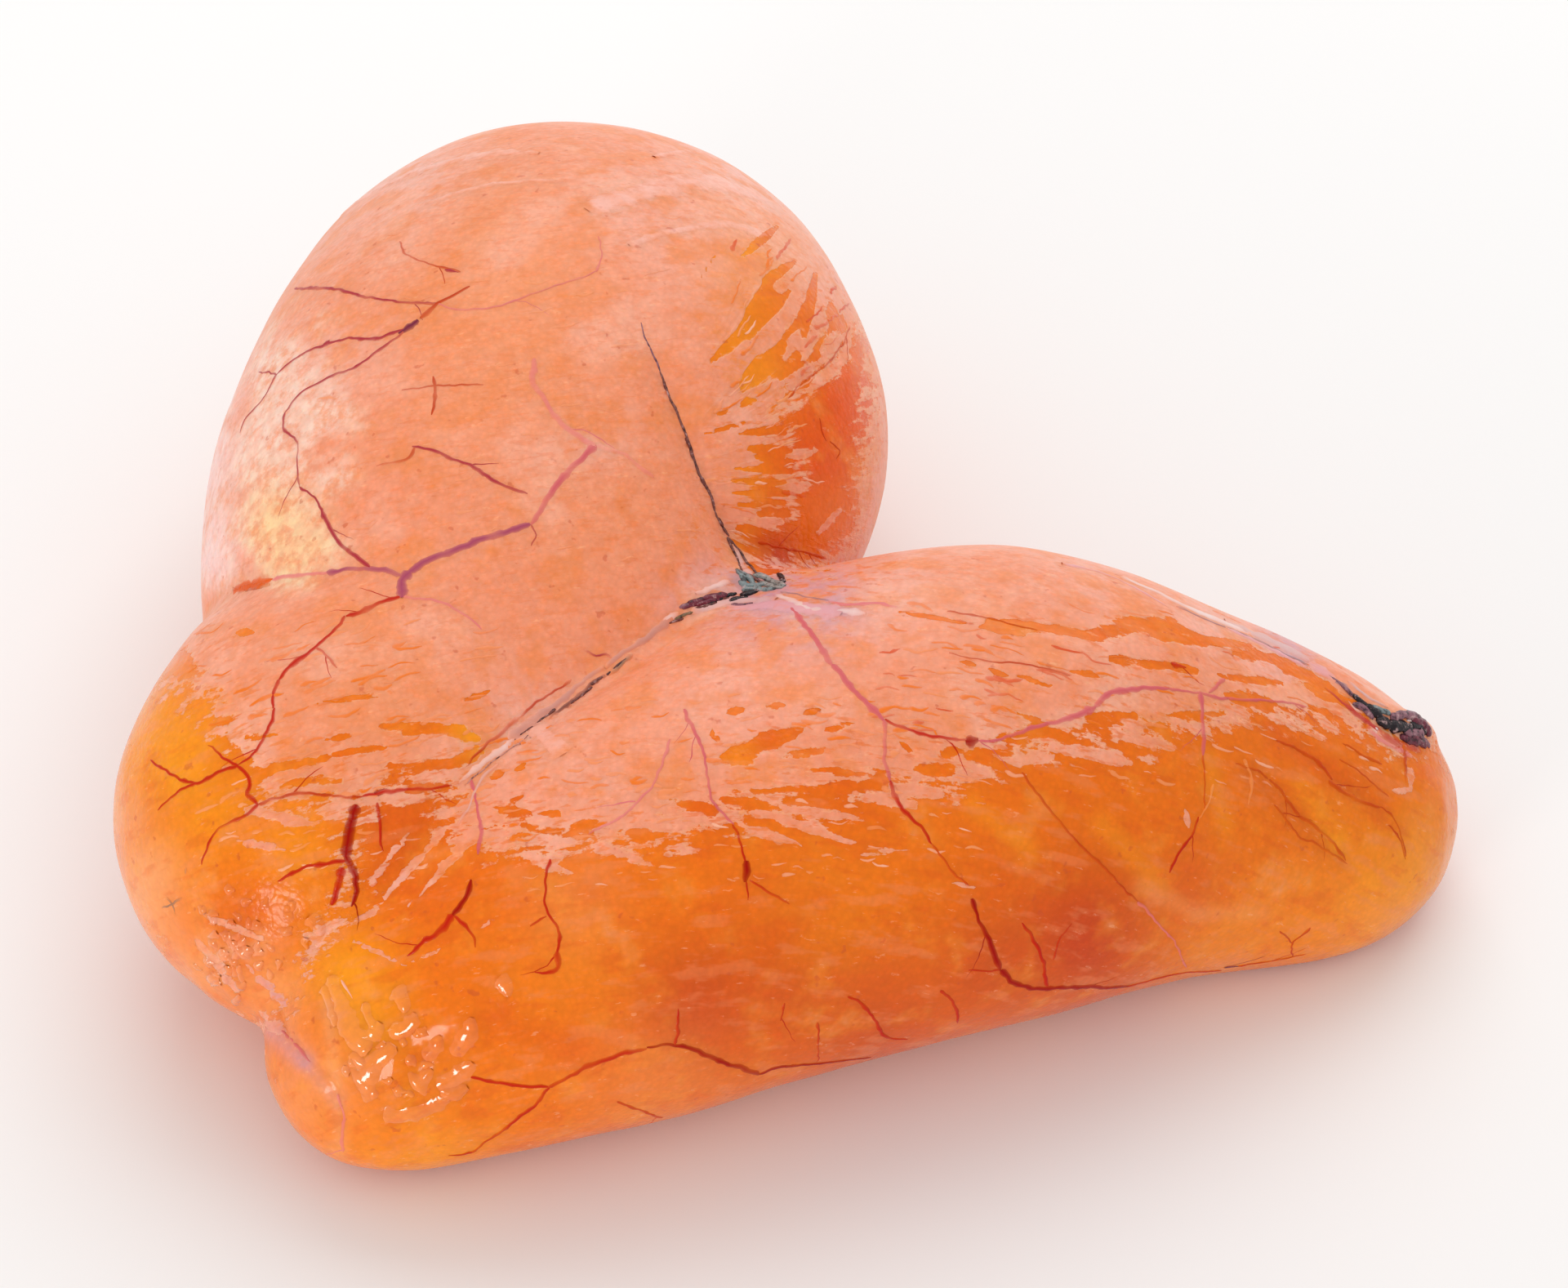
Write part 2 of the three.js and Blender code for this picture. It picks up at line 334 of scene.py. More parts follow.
# Streaks where the film and its painted sheen are torn open, and streaks of both over bare skin, a few
# of them painted glints: ends and width.
TORN = (
    (951, 278, 910, 313, 13), (972, 322, 937, 342, 13), (943, 342, 913, 398, 20),
    (966, 357, 937, 389, 12), (928, 389, 872, 442, 15), (998, 336, 984, 410, 11),
    (984, 377, 963, 410, 14), (957, 424, 913, 471, 20), (975, 436, 963, 477, 16),
    (1016, 371, 1022, 401, 8), (1020, 401, 993, 454, 11), (1034, 377, 1031, 430, 5),
    (948, 360, 920, 412, 12), (972, 440, 985, 470, 10), (930, 440, 908, 478, 9),
    (875, 509, 893, 503, 5), (863, 531, 913, 518, 5), (905, 497, 925, 488, 6),
    (905, 530, 960, 526, 6), (916, 549, 968, 556, 9), (925, 560, 970, 566, 6),
    (899, 574, 967, 576, 6), (896, 588, 960, 592, 8), (899, 604, 965, 604, 6),
    (905, 618, 960, 616, 5), (930, 630, 962, 628, 7), (880, 306, 855, 345, 4),
    (905, 645, 930, 655, 6), (985, 610, 1015, 640, 9), (1010, 600, 1040, 620, 6),
    (1100, 749, 1193, 765, 5), (1193, 765, 1256, 780, 7), (1209, 761, 1333, 777, 15),
    (1333, 777, 1411, 761, 26), (1411, 765, 1458, 779, 22), (1411, 777, 1530, 790, 11),
    (1174, 808, 1195, 815, 6), (1212, 820, 1232, 828, 8), (1244, 826, 1287, 840, 6),
    (1310, 823, 1357, 828, 7), (1360, 806, 1425, 815, 13), (1425, 812, 1466, 822, 10),
    (1489, 827, 1567, 836, 6), (1510, 800, 1560, 806, 12), (1560, 806, 1624, 838, 13),
    (1600, 840, 1660, 862, 8), (1240, 870, 1279, 885, 6), (1330, 878, 1390, 876, 6),
    (1430, 876, 1500, 874, 7), (1500, 850, 1560, 862, 7), (1100, 905, 1120, 925, 5),
    (890, 930, 925, 918, 24), (925, 912, 960, 898, 24), (890, 873, 912, 869, 12),
    (938, 866, 962, 863, 11), (984, 874, 1006, 868, 10), (955, 905, 985, 890, 9),
    (1119, 941, 1163, 945, 8), (1072, 958, 1086, 960, 9), (921, 970, 1082, 963, 7),
    (950, 981, 1053, 985, 5), (885, 978, 950, 990, 6), (819, 978, 877, 996, 7),
    (960, 925, 1010, 918, 8), (868, 890, 880, 908, 7), (1012, 893, 1044, 886, 9),
    (985, 940, 1060, 948, 5), (1215, 905, 1290, 896, 8),
    (1185, 925, 1230, 935, 7), (1150, 925, 1175, 918, 6),
    (606, 952, 616, 946, 8), (630, 945, 645, 935, 7), (606, 989, 650, 996, 8),
    (662, 996, 684, 994, 6), (700, 1014, 730, 1008, 7), (620, 985, 640, 975, 6),
    (388, 861, 477, 849, 7), (466, 889, 552, 894, 13), (540, 890, 584, 905, 14),
    (567, 857, 600, 846, 8), (332, 939, 399, 932, 8), (395, 925, 470, 915, 7),
    (400, 905, 430, 900, 9), (290, 775, 312, 774, 9), (208, 803, 226, 818, 22),
    (270, 950, 330, 945, 9), (300, 905, 345, 898, 5), (480, 940, 560, 935, 7),
    (350, 960, 420, 955, 6), (560, 930, 590, 920, 10), (285, 721, 330, 716, 9),
    (640, 1010, 700, 1022, 6), (760, 1018, 810, 1024, 6),
)
SHEEN_WISPS = (
    (965, 400, 985, 350, 6), (1005, 430, 1020, 408, 5), (955, 470, 1010, 440, 5),
    (990, 478, 1035, 440, 5), (1040, 405, 1030, 445, 4), (960, 560, 1000, 552, 4),
    (930, 640, 955, 638, 6), (950, 598, 990, 594, 4), (1000, 655, 1030, 622, 4),
    (1032, 372, 1041, 400, 4), (1041, 402, 1000, 446, 4), (998, 450, 952, 486, 5),
    (470, 1100, 540, 1020, 6), (500, 1110, 575, 1030, 6), (455, 1080, 500, 1020, 5),
    (540, 1060, 600, 1000, 8), (560, 1010, 600, 985, 7), (440, 1125, 470, 1110, 5),
    (640, 1045, 700, 1070, 6), (740, 1040, 800, 1060, 5), (921, 992, 1046, 1033, 7),
    (905, 1010, 985, 1036, 6), (1053, 1047, 1112, 1040, 8), (960, 990, 1060, 1004, 5),
    (1060, 975, 1120, 985, 8), (1090, 962, 1150, 972, 8), (1180, 955, 1205, 948, 6),
    (1230, 935, 1290, 925, 7), (1290, 915, 1370, 925, 7), (1350, 930, 1385, 935, 6),
    (1165, 1080, 1200, 1088, 6), (1452, 992, 1456, 1020, 6), (1380, 905, 1440, 915, 5),
    (430, 985, 520, 975, 6), (300, 990, 380, 1010, 7), (290, 1030, 350, 1040, 7),
    (250, 1120, 320, 1150, 9), (240, 1150, 290, 1210, 9), (300, 1180, 350, 1230, 8),
    (430, 1150, 495, 1182, 5), (495, 1182, 545, 1160, 6), (585, 1140, 610, 1120, 5),
    (328, 1255, 350, 1265, 8), (1727, 942, 1728, 966, 6), (1706, 969, 1728, 968, 5),
)
# Dabs of other colours: the middle in the photograph, the reach, the colour and how much of it.
# The brick dabs at (950, 678) and (300, 717) are painted shade where folds meet; the blush dabs at
# (1075, 600) on the dome's right rim and along the left lobe's rim are painted rim reflection.
BARE_DABS = (
    (215, 960, 90, YELLOW, 1.0), (230, 1050, 60, YELLOW, 0.15),
    (182, 1070, 42, BLUSH, 0.9), (190, 890, 70, YELLOW, 0.8),
    (360, 1040, 60, AMBER, 0.6), (490, 1000, 50, DEEP, 0.35), (540, 1090, 70, DEEP, 0.25),
    (300, 1120, 50, DEEP, 0.3), (165, 1120, 50, BLUSH, 0.9), (215, 1210, 60, BLUSH, 0.9),
    (150, 1000, 35, BLUSH, 0.7), (340, 1210, 45, BLUSH, 0.7), (425, 1190, 60, YELLOW, 1.0),
    (455, 1250, 45, YELLOW, 0.6), (370, 1340, 80, BLUSH, 0.5), (590, 1170, 60, ORANGE, 0.6),
    (850, 1230, 80, BRICK, 0.85), (960, 1210, 80, BRICK, 0.6), (1330, 1150, 100, BRICK, 1.0),
    (1210, 1190, 70, BRICK, 0.6), (1080, 1260, 110, BRICK, 0.7), (1465, 1081, 38, DEEP, 0.6),
    (1730, 1080, 90, AMBER, 0.9), (1790, 1060, 40, BLUSH, 0.6), (1700, 1160, 60, BLUSH, 0.4),
    (1036, 490, 60, FIERY, 0.8), (1000, 565, 60, FIERY, 0.8), (1025, 640, 50, ORANGE, 0.8),
    (950, 678, 30, BRICK, 1.0), (905, 322, 45, YELLOW, 0.8), (900, 410, 50, YELLOW, 0.5),
    (925, 470, 40, AMBER, 0.6), (905, 575, 40, AMBER, 0.5),
    (905, 925, 30, AMBER, 0.35), (940, 903, 22, DEEP, 0.4),
    (575, 900, 30, AMBER, 1.0), (520, 1430, 90, AMBER, 0.8), (800, 1330, 90, BLUSH, 0.25),
    (1075, 600, 22, BLUSH, 0.8), (1500, 1150, 80, AMBER, 0.4),
    (700, 1110, 60, BLUSH, 0.3), (1640, 1150, 70, AMBER, 0.5),
    (870, 990, 40, DEEP, 0.45), (1030, 968, 60, DEEP, 0.35), (625, 992, 45, DEEP, 0.3),
    (300, 717, 22, BRICK, 1.0), (700, 1200, 90, AMBER, 0.25), (1000, 1110, 90, AMBER, 0.3),
)
BARE_STRIPES = (
    (1570, 905, 1690, 990, 16, DEEP, 0.4), (1530, 945, 1640, 1050, 14, BRICK, 0.25),
    (1400, 1085, 1465, 1118, 12, BLUSH, 0.3), (1465, 1118, 1546, 1118, 10, BLUSH, 0.3),
    (1595, 965, 1640, 1030, 14, AMBER, 0.5), (1640, 1030, 1680, 1080, 14, AMBER, 0.5),
    (1350, 1010, 1420, 1080, 16, AMBER, 0.4), (1190, 985, 1260, 1040, 14, AMBER, 0.4),
    (1480, 930, 1500, 1010, 12, AMBER, 0.4), (940, 1160, 1010, 1100, 18, DEEP, 0.3),
    (330, 1262, 372, 1300, 12, LILAC, 0.5), (372, 1300, 412, 1350, 9, LILAC, 0.35),
    (412, 1350, 418, 1410, 8, BLUSH, 0.5), (400, 1230, 412, 1330, 8, BLUSH, 0.6),
    (720, 1100, 790, 1180, 20, DEEP, 0.25), (600, 1250, 700, 1280, 24, DEEP, 0.3),
)
# Tints of the veil; the milky dabs on the dome's top and at its right rim and the rosy ones on its left
# rim are painted sheen.
FILM_AND_SHEEN_DABS = (
    (500, 215, 80, MILKY, 0.8), (930, 225, 100, MILKY, 0.9), (760, 250, 60, MILKY, 0.6),
    (940, 735, 50, LILAC, 1.0), (1015, 738, 50, LILAC, 0.9), (860, 730, 40, LILAC, 0.6),
    (1100, 720, 60, MILKY, 0.6), (1330, 700, 90, MILKY, 0.5), (1480, 760, 50, MILKY, 0.6),
    (1575, 795, 40, LILAC, 0.8), (620, 420, 150, PEACH, 0.5), (620, 300, 90, PEACH, 0.5),
    (450, 850, 110, PEACH, 0.5), (730, 640, 100, PEACH, 0.3), (640, 890, 60, MILKY, 0.5),
    (1090, 600, 50, MILKY, 0.35), (254, 670, 42, ROSY, 1.0), (248, 570, 40, ROSY, 1.0),
    (262, 480, 36, ROSY, 0.8),
    (300, 380, 40, MILKY, 0.6), (380, 270, 40, MILKY, 0.6),
    (730, 540, 45, MILKY, 0.5), (420, 440, 60, MILKY, 0.5),
    (1300, 820, 90, FILM_SHEEN, 0.8), (700, 1000, 90, MILKY, 0.25), (1000, 330, 40, MILKY, 0.6),
    (380, 1290, 50, LILAC, 0.6), (350, 1200, 40, LILAC, 0.5), (490, 1090, 60, MILKY, 0.6),
    (900, 330, 60, PEACH, 0.6), (945, 315, 45, PEACH, 1.0), (900, 850, 80, MILKY, 0.4),
    (830, 330, 50, MILKY, 0.25),
)
# Painted reflection: pale cream where the front light mirrors on the dome's left, rosy along its left
# rim, faint on the lobe below.
PALE_SHEEN_DABS = (
    (345, 460, 60, CREAM, 0.75), (325, 560, 55, CREAM, 1.0), (350, 520, 50, CREAM, 0.9),
    (335, 640, 55, STRAW, 1.0), (350, 680, 45, STRAW, 1.0), (385, 395, 40, CREAM, 0.25),
    (400, 500, 50, CREAM, 0.6), (400, 580, 45, CREAM, 0.5), (395, 670, 40, STRAW, 0.6),
    (258, 690, 32, ROSY, 1.0), (256, 640, 30, ROSY, 1.0), (256, 590, 28, ROSY, 1.0),
    (262, 540, 26, ROSY, 0.9), (270, 490, 24, ROSY, 0.8), (284, 440, 24, ROSY, 0.6),
    (340, 1060, 50, CREAM, 0.2), (290, 1170, 45, CREAM, 0.2),
)
MM = 0.001
PIXELS_PER_MM = 9.35
FILM_DEPTH = 14.0  # how far inside or outside the film's edge a corner can count, in mm
EDGE_BAND = 6.0  # within this of the edge, distances count less, so that the edge breaks up
STROKE = 3.6
DRIFT_SIZE = 0.024  # on the unseen side the film and its painted sheen end in bays of about this size
SHEEN_TILT = 0.2  # and where the skin faces up less than this: the sheen is painted on the skin that faces up
SHEEN_FALL = 16
FLANK = {"left": 830, "right": 890, "top": 680, "bottom": 700}

across, down, shown = seen_at(places, normals)


def span_gap(u1, v1, u2, v2):
    """How far, in pixels, each corner of the skin is from the line between two points."""
    run = np.array((u2 - u1, v2 - v1), float)
    share = ((across - u1) * run[0] + (down - v1) * run[1]) / (run @ run)
    share = np.clip(share, 0, 1)
    return np.hypot(across - u1 - share * run[0], down - v1 - share * run[1]), share


film_and_sheen = np.full(len(places), 1e3)
for outline in BARE:
    gap = np.full(len(places), 1e3)
    inside = np.zeros(len(places), bool)
    for (u1, v1), (u2, v2) in zip(outline, outline[1:] + outline[:1]):
        gap = np.minimum(gap, span_gap(u1, v1, u2, v2)[0])
        crosses = (v1 > down) != (v2 > down)
        with np.errstate(divide="ignore", invalid="ignore"):
            at = u1 + (down - v1) * (u2 - u1) / (v2 - v1 if v2 != v1 else 1e-9)
        inside ^= crosses & (across < at)
    film_and_sheen = np.minimum(film_and_sheen, np.where(inside, -gap, gap))
film_and_sheen = np.clip(film_and_sheen / PIXELS_PER_MM, -FILM_DEPTH, FILM_DEPTH)
film_and_sheen *= 0.5 + 0.5 * np.minimum(1, np.abs(film_and_sheen) / EDGE_BAND)
for strokes, change in ((TORN, -1), (SHEEN_WISPS, 1)):
    for u1, v1, u2, v2, width in strokes:
        gap, share = span_gap(u1, v1, u2, v2)
        taper = 0.4 + 0.6 * np.sin(math.pi * np.clip(share, 0.05, 0.95))
        mark = np.exp(-((gap / (width * taper)) ** 2)) * shown
        film_and_sheen += mark * (change * STROKE - film_and_sheen)
drifts = np.array([noise.noise(Vector(p) / DRIFT_SIZE) for p in places])
behind = (normals[:, 2] - SHEEN_TILT) * SHEEN_FALL + FILM_DEPTH * drifts
behind = np.clip(behind, -FILM_DEPTH, FILM_DEPTH)
film_and_sheen = film_and_sheen * shown + behind * (1 - shown)

flesh_and_painted_light = np.tile(colour(ORANGE), (len(places), 1))
veil_and_sheen = np.tile(colour(FILM_SHEEN), (len(places), 1))
for u, v, reach, hue, much in BARE_DABS:
    flesh_and_painted_light += (np.array(colour(hue)) - flesh_and_painted_light) * (much * dab(u, v, reach))[:, None]
for u, v, reach, hue, much in FILM_AND_SHEEN_DABS:
    veil_and_sheen += (np.array(colour(hue)) - veil_and_sheen) * (much * dab(u, v, reach))[:, None]
for u1, v1, u2, v2, width, hue, much in BARE_STRIPES:
    mark = much * np.exp(-((span_gap(u1, v1, u2, v2)[0] / width) ** 2)) * shown
    flesh_and_painted_light += (np.array(colour(hue)) - flesh_and_painted_light) * mark[:, None]
pale_sheen = np.tile(colour(CREAM, 0), (len(places), 1))
for u, v, reach, hue, much in PALE_SHEEN_DABS:
    mark = much * dab(u, v, reach)
    pale_sheen[:, :3] += (np.array(colour(hue))[:3] - pale_sheen[:, :3]) * mark[:, None]
    pale_sheen[:, 3] = np.maximum(pale_sheen[:, 3], mark)
flank = np.clip((across - FLANK["left"]) / (FLANK["right"] - FLANK["left"]), 0, 1) * shown
flank *= np.clip((FLANK["bottom"] - down) / (FLANK["bottom"] - FLANK["top"]), 0, 1)

# The streaks of the film and its painted sheen curve over the roe about a point far below the
# photograph, and over the dome's flank they fan out from its fold.
COMB_MIDDLE = (900, 2500)
FAN_MIDDLE = (780, 600)
STREAK_LENGTH = 6.0
STREAK_WIDTH = 1.5
STREAK_DEPTH = 4.0
combs = {}
depth = (places - np.array(camera_place)) @ np.array(sight) / MM
for name, middle in (("comb", COMB_MIDDLE), ("fan", FAN_MIDDLE)):
    angle = np.arctan2(down - middle[1], across - middle[0])
    reach = np.hypot(down - middle[1], across - middle[0]) / PIXELS_PER_MM
    if name == "comb":
        run, aside = angle * np.median(reach), reach
    else:
        run, aside = reach, angle * np.median(reach)
    streaks = (run / STREAK_LENGTH, aside / STREAK_WIDTH, depth / STREAK_DEPTH)
    combs[name] = np.column_stack(streaks)


def keep(mesh, name, kind, values):
    """Stores a value for each corner of a mesh, which its material reads."""
    field = {"FLOAT": "value", "FLOAT_COLOR": "color", "FLOAT_VECTOR": "vector"}[kind]
    mesh.attributes.new(name, kind, "POINT").data.foreach_set(field, np.ravel(values))


marks = {"film_and_sheen": film_and_sheen, "wet": wet, "flank": flank}
for name, values in marks.items():
    keep(roe.data, name, "FLOAT", values)
hues = {"flesh_and_painted_light": flesh_and_painted_light, "veil_and_sheen": veil_and_sheen, "pale_sheen": pale_sheen}
for name, values in hues.items():
    keep(roe.data, name, "FLOAT_COLOR", values)
for name, values in combs.items():
    keep(roe.data, name, "FLOAT_VECTOR", values)
keep(roe.data, "vessel", "FLOAT_COLOR", np.zeros((len(places), 4)))

# The side that the photograph doesn't show needs a less fine mesh, and the flat underside least.
SKIN_KEPT = 0.7
HALF_SEEN = 0.5
plainer = roe.vertex_groups.new(name="plainer")
plainer.add(np.nonzero(shown < HALF_SEEN)[0].tolist(), 1.0, "REPLACE")
finish_with("DECIMATE", ratio=SKIN_KEPT, vertex_group="plainer")
roe.vertex_groups.clear()

# The skin's material: wet and glossy, with the grain of the eggs showing through it. The vessels
# on it are of the same look but too thin for light to soak in.
# The first colour below is the cream of the highlights painted on the veil.
PAINTED_HIGHLIGHT = (252, 196, 150)
APRICOT = (238, 140, 88)
SHELL = (246, 176, 150)
EMBER = (222, 88, 18)
HONEY = (246, 150, 44)
SPECK = (200, 78, 38)
# The sizes of the patterns in metres, and how many cells of a pattern lie along a metre.
RAGGED_SIZE = 0.0022
MOTTLE_SIZE = 0.0014
PATCH_SIZE = 0.0062
BROAD_SIZE = 0.014
DOT_SIZE = 0.0016
DIMPLE_SIZE = 0.0048
EGG_CELLS = 1300.0
SHEEN_NET_CELLS = 330.0
WARP_CELLS = 420.0
WARP_REACH = 0.0022
# How much the patterns stand up, in mm.
EGG_RELIEF = 0.045
FILM_RELIEF = 0.04
STREAK_RELIEF = 0.10
MOTTLE_RELIEF = 0.05
DIMPLE_RELIEF = 0.22
WET_RELIEF = 0.55
# How rough the shine is.
ROUGH_BARE = 0.22
ROUGH_FILM = 0.38
ROUGH_WET = 0.12


def read(name, output="Fac"):
    """A value stored on the mesh."""
    return add(tree, "Attribute", {}, attribute_name=name).outputs[output]


def maths(operation, *values):
    """The result of a sum on one, two or three values."""
    return add(tree, "Math", dict(enumerate(values)), operation=operation).outputs[0]


def between(value, low, high, to_low=0.0, to_high=1.0):
    """A value's smooth rise as it goes from low to high."""
    made = add(
        tree,
        "MapRange",
        {"Value": value, "From Min": low, "From Max": high, "To Min": to_low, "To Max": to_high},
        interpolation_type="SMOOTHSTEP",
    )
    return made.outputs[0]


def blend(share, a, b, how="MIX"):
    """Two colours mixed."""
    made = add(tree, "Mix", {0: share, 6: a, 7: b}, data_type="RGBA", blend_type=how)
    return made.outputs[2]


def either(share, a, b):
    """A value between two others."""
    return add(tree, "Mix", {0: share, 2: a, 3: b}, data_type="FLOAT").outputs[0]


def cloud(where, size, detail=2.0, rough=0.5):
    """Soft random blotches of about this size."""
    made = add(
        tree,
        "TexNoise",
        {"Vector": where, "Scale": 1 / size, "Detail": detail, "Roughness": rough},
    )
    return made.outputs["Fac"]


def wet_look(name, soaked, wetness=0.10, shine=0.22):
    """The skin's material, by how far light soaks in, how much water is on it and how it shines."""
    global tree
    look = bpy.data.materials.new(name)
    tree, out = shader(look)
    place = add(tree, "TexCoord", {}).outputs["Object"]
    combed = cloud(read("comb", "Vector"), 1.0, 4.0, 0.6)
    fanned = cloud(read("fan", "Vector"), 1.0, 4.0, 0.6)
    streak = either(read("flank"), combed, fanned)
    ragged = cloud(place, RAGGED_SIZE, 5.0, 0.68)
    grain = add(tree, "TexVoronoi", {"Vector": place, "Scale": EGG_CELLS}).outputs["Distance"]
    mottle = cloud(place, MOTTLE_SIZE, 4.0, 0.65)
    patch = cloud(place, PATCH_SIZE, 3.0, 0.55)
    broad = cloud(place, BROAD_SIZE, 3.0, 0.5)

    edge = read("film_and_sheen")
    for pattern, mm_off, mm_on_flank in ((streak, 15, 6), (ragged, 9.5, 3.6)):
        pull = between(read("flank"), 0, 1, mm_off, mm_on_flank)
        edge = maths("MULTIPLY_ADD", maths("SUBTRACT", pattern, 0.5), pull, edge)
    # The veil mixed over the bare orange is partly film and partly painted sheen.
    film_and_sheen_cover = between(edge, -0.5, 0.5)
    bare = blend(between(patch, 0.5, 0.72, 0, 0.35), read("flesh_and_painted_light", "Color"), colour(HONEY))
    sweep = cloud(read("comb", "Vector"), 1.6, 3.0, 0.6)
    swept = maths("MULTIPLY", between(sweep, 0.52, 0.66, 0, 0.3), between(read("flank"), 0, 1, 1, 0))
    bare = blend(swept, bare, colour(APRICOT))
    bare = blend(between(sweep, 0.46, 0.34, 0, 0.3), bare, colour(EMBER))
    bare = blend(between(broad, 0.5, 0.3, 0, 0.25), bare, colour(EMBER))
    film_and_sheen_hue = blend(between(patch, 0.48, 0.64, 0, 0.8), read("veil_and_sheen", "Color"), colour(APRICOT))
    film_and_sheen_hue = blend(between(broad, 0.5, 0.32, 0, 0.6), film_and_sheen_hue, colour(SHELL))
    pale = between(read("film_and_sheen"), 3.0, 9.0, 1.0, 0.55)
    pale = maths("MULTIPLY", between(streak, 0.5, 0.72, 0, 0.5), pale)
    film_and_sheen_hue = blend(pale, film_and_sheen_hue, colour(SHELL))
    # A painted highlight along the veil's torn edge.
    edge_highlight = maths("MULTIPLY", film_and_sheen_cover, between(edge, 1.6, 0.1))
    film_and_sheen_hue = blend(maths("MULTIPLY", edge_highlight, 0.35), film_and_sheen_hue, colour(PAINTED_HIGHLIGHT))
    dash = between(cloud(read("comb", "Vector"), 0.5, 3.0, 0.6), 0.54, 0.66, 1.0, 0.4)
    dash = maths("MAXIMUM", dash, between(read("film_and_sheen"), 3.0, 9.0, 0.0, 0.78))
    film_and_sheen_share = maths("MULTIPLY", dash, between(ragged, 0.3, 0.6, 0.72, 1.0))
    film_and_sheen_share = maths("MULTIPLY", film_and_sheen_cover, film_and_sheen_share)
    hue = blend(film_and_sheen_share, bare, film_and_sheen_hue)

    warp = add(tree, "TexNoise", {"Vector": place, "Scale": WARP_CELLS, "Detail": 2.0}).outputs["Color"]
    warp = add(tree, "VectorMath", {0: warp, 3: WARP_REACH}, operation="SCALE").outputs[0]
    bent = add(tree, "VectorMath", {0: place, 1: warp}, operation="ADD").outputs[0]
    cells = {"Vector": bent, "Scale": SHEEN_NET_CELLS}
    net = add(tree, "TexVoronoi", cells, feature="DISTANCE_TO_EDGE").outputs["Distance"]
    # Painted reflection of the front light: pale patches broken up by a net of lobules.
    pale_sheen_patches = maths("MULTIPLY", between(net, 0.0, 0.3, 0.7, 1.0), between(ragged, 0.36, 0.58, 0.35, 1.0))
    spread = maths("MULTIPLY_ADD", patch, 0.9, read("pale_sheen", "Alpha"))
    pale_sheen_patches = maths("MULTIPLY", pale_sheen_patches, between(spread, 0.55, 1.1))
    hue = blend(maths("MULTIPLY", pale_sheen_patches, 0.85), hue, read("pale_sheen", "Color"))

    # Small painted highlights strewn along the streaks.
    highlight_flecks = between(cloud(read("comb", "Vector"), 0.45, 3.0, 0.6), 0.62, 0.70)
    highlight_flecks = maths("MULTIPLY", highlight_flecks, between(mottle, 0.46, 0.58))
    hue = blend(maths("MULTIPLY", highlight_flecks, 0.25), hue, colour(PAINTED_HIGHLIGHT))
    dots = between(cloud(place, DOT_SIZE, 2.0, 0.5), 0.68, 0.76)
    hue = blend(maths("MULTIPLY", dots, 0.45), hue, colour(SPECK))
    shade = between(mottle, 0.3, 0.7, 0.955, 1.035)
    shade = maths("MULTIPLY", between(grain, 0.05, 0.75, 1.02, 0.955), shade)
    grey = add(tree, "CombineColor", {0: shade, 1: shade, 2: shade}).outputs[0]
    hue = blend(1.0, hue, grey, "MULTIPLY")
    blood = between(maths("ADD", read("vessel", "Alpha"), mottle), 0.45, 0.85)
    blood = maths("MULTIPLY", read("vessel", "Alpha"), blood)
    hue = blend(blood, hue, read("vessel", "Color"))

    gloss = either(film_and_sheen_cover, ROUGH_BARE, ROUGH_FILM)
    gloss = either(read("wet"), gloss, ROUGH_WET)
    dry = between(read("wet"), 0.0, 0.6, 1.0, 0.0)
    relief = maths("MULTIPLY", grain, maths("MULTIPLY", dry, -EGG_RELIEF))
    over = between(edge, -1.5, 1.5)
    relief = maths("MULTIPLY_ADD", over, FILM_RELIEF, relief)
    relief = maths("MULTIPLY_ADD", maths("MULTIPLY", over, streak), STREAK_RELIEF, relief)
    relief = maths("MULTIPLY_ADD", maths("MULTIPLY", mottle, dry), MOTTLE_RELIEF, relief)
    dimples = maths("MULTIPLY_ADD", read("wet"), WET_RELIEF, DIMPLE_RELIEF)
    relief = maths("MULTIPLY_ADD", cloud(place, DIMPLE_SIZE, 1.0, 0.4), dimples, relief)
    bump = add(tree, "Bump", {"Strength": 1.0, "Distance": MM, "Height": relief}).outputs[0]
    skin = add(
        tree,
        "BsdfPrincipled",
        {
            "Base Color": hue,
            "Roughness": gloss,
            "Normal": bump,
            "IOR": 1.36,
            "Specular IOR Level": shine,
            "Subsurface Weight": soaked,
            "Subsurface Radius": (1.0, 0.35, 0.15),
            "Subsurface Scale": 0.003,
            "Coat Weight": wetness,
            "Coat Roughness": 0.06,
            "Coat Normal": bump,
        },
    )
    tree.links.new(skin.outputs[0], out.inputs["Surface"])
    return look


roe.data.materials.append(wet_look("wet roe skin", 0.25))
roe.data.polygons.foreach_set("use_smooth", np.ones(len(roe.data.polygons), bool))
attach(roe, "root")
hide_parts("roe")

# The blood vessels: fine branching tubes under the film, wine red to purple, that stand up a
# little. Each is a narrow strip laid on the skin, in the skin's own look with the blood in it. A few
# strips are no vessels but painted shade along folds and creases, and painted glints.
GRAPE = (112, 24, 60)
PLUM = (166, 70, 98)
ORCHID = (208, 92, 100)
ROSE = (222, 116, 120)
WINE = (168, 40, 58)
CRIMSON = (190, 24, 8)
BLOOD = (156, 0, 0)
RUST = (190, 54, 12)
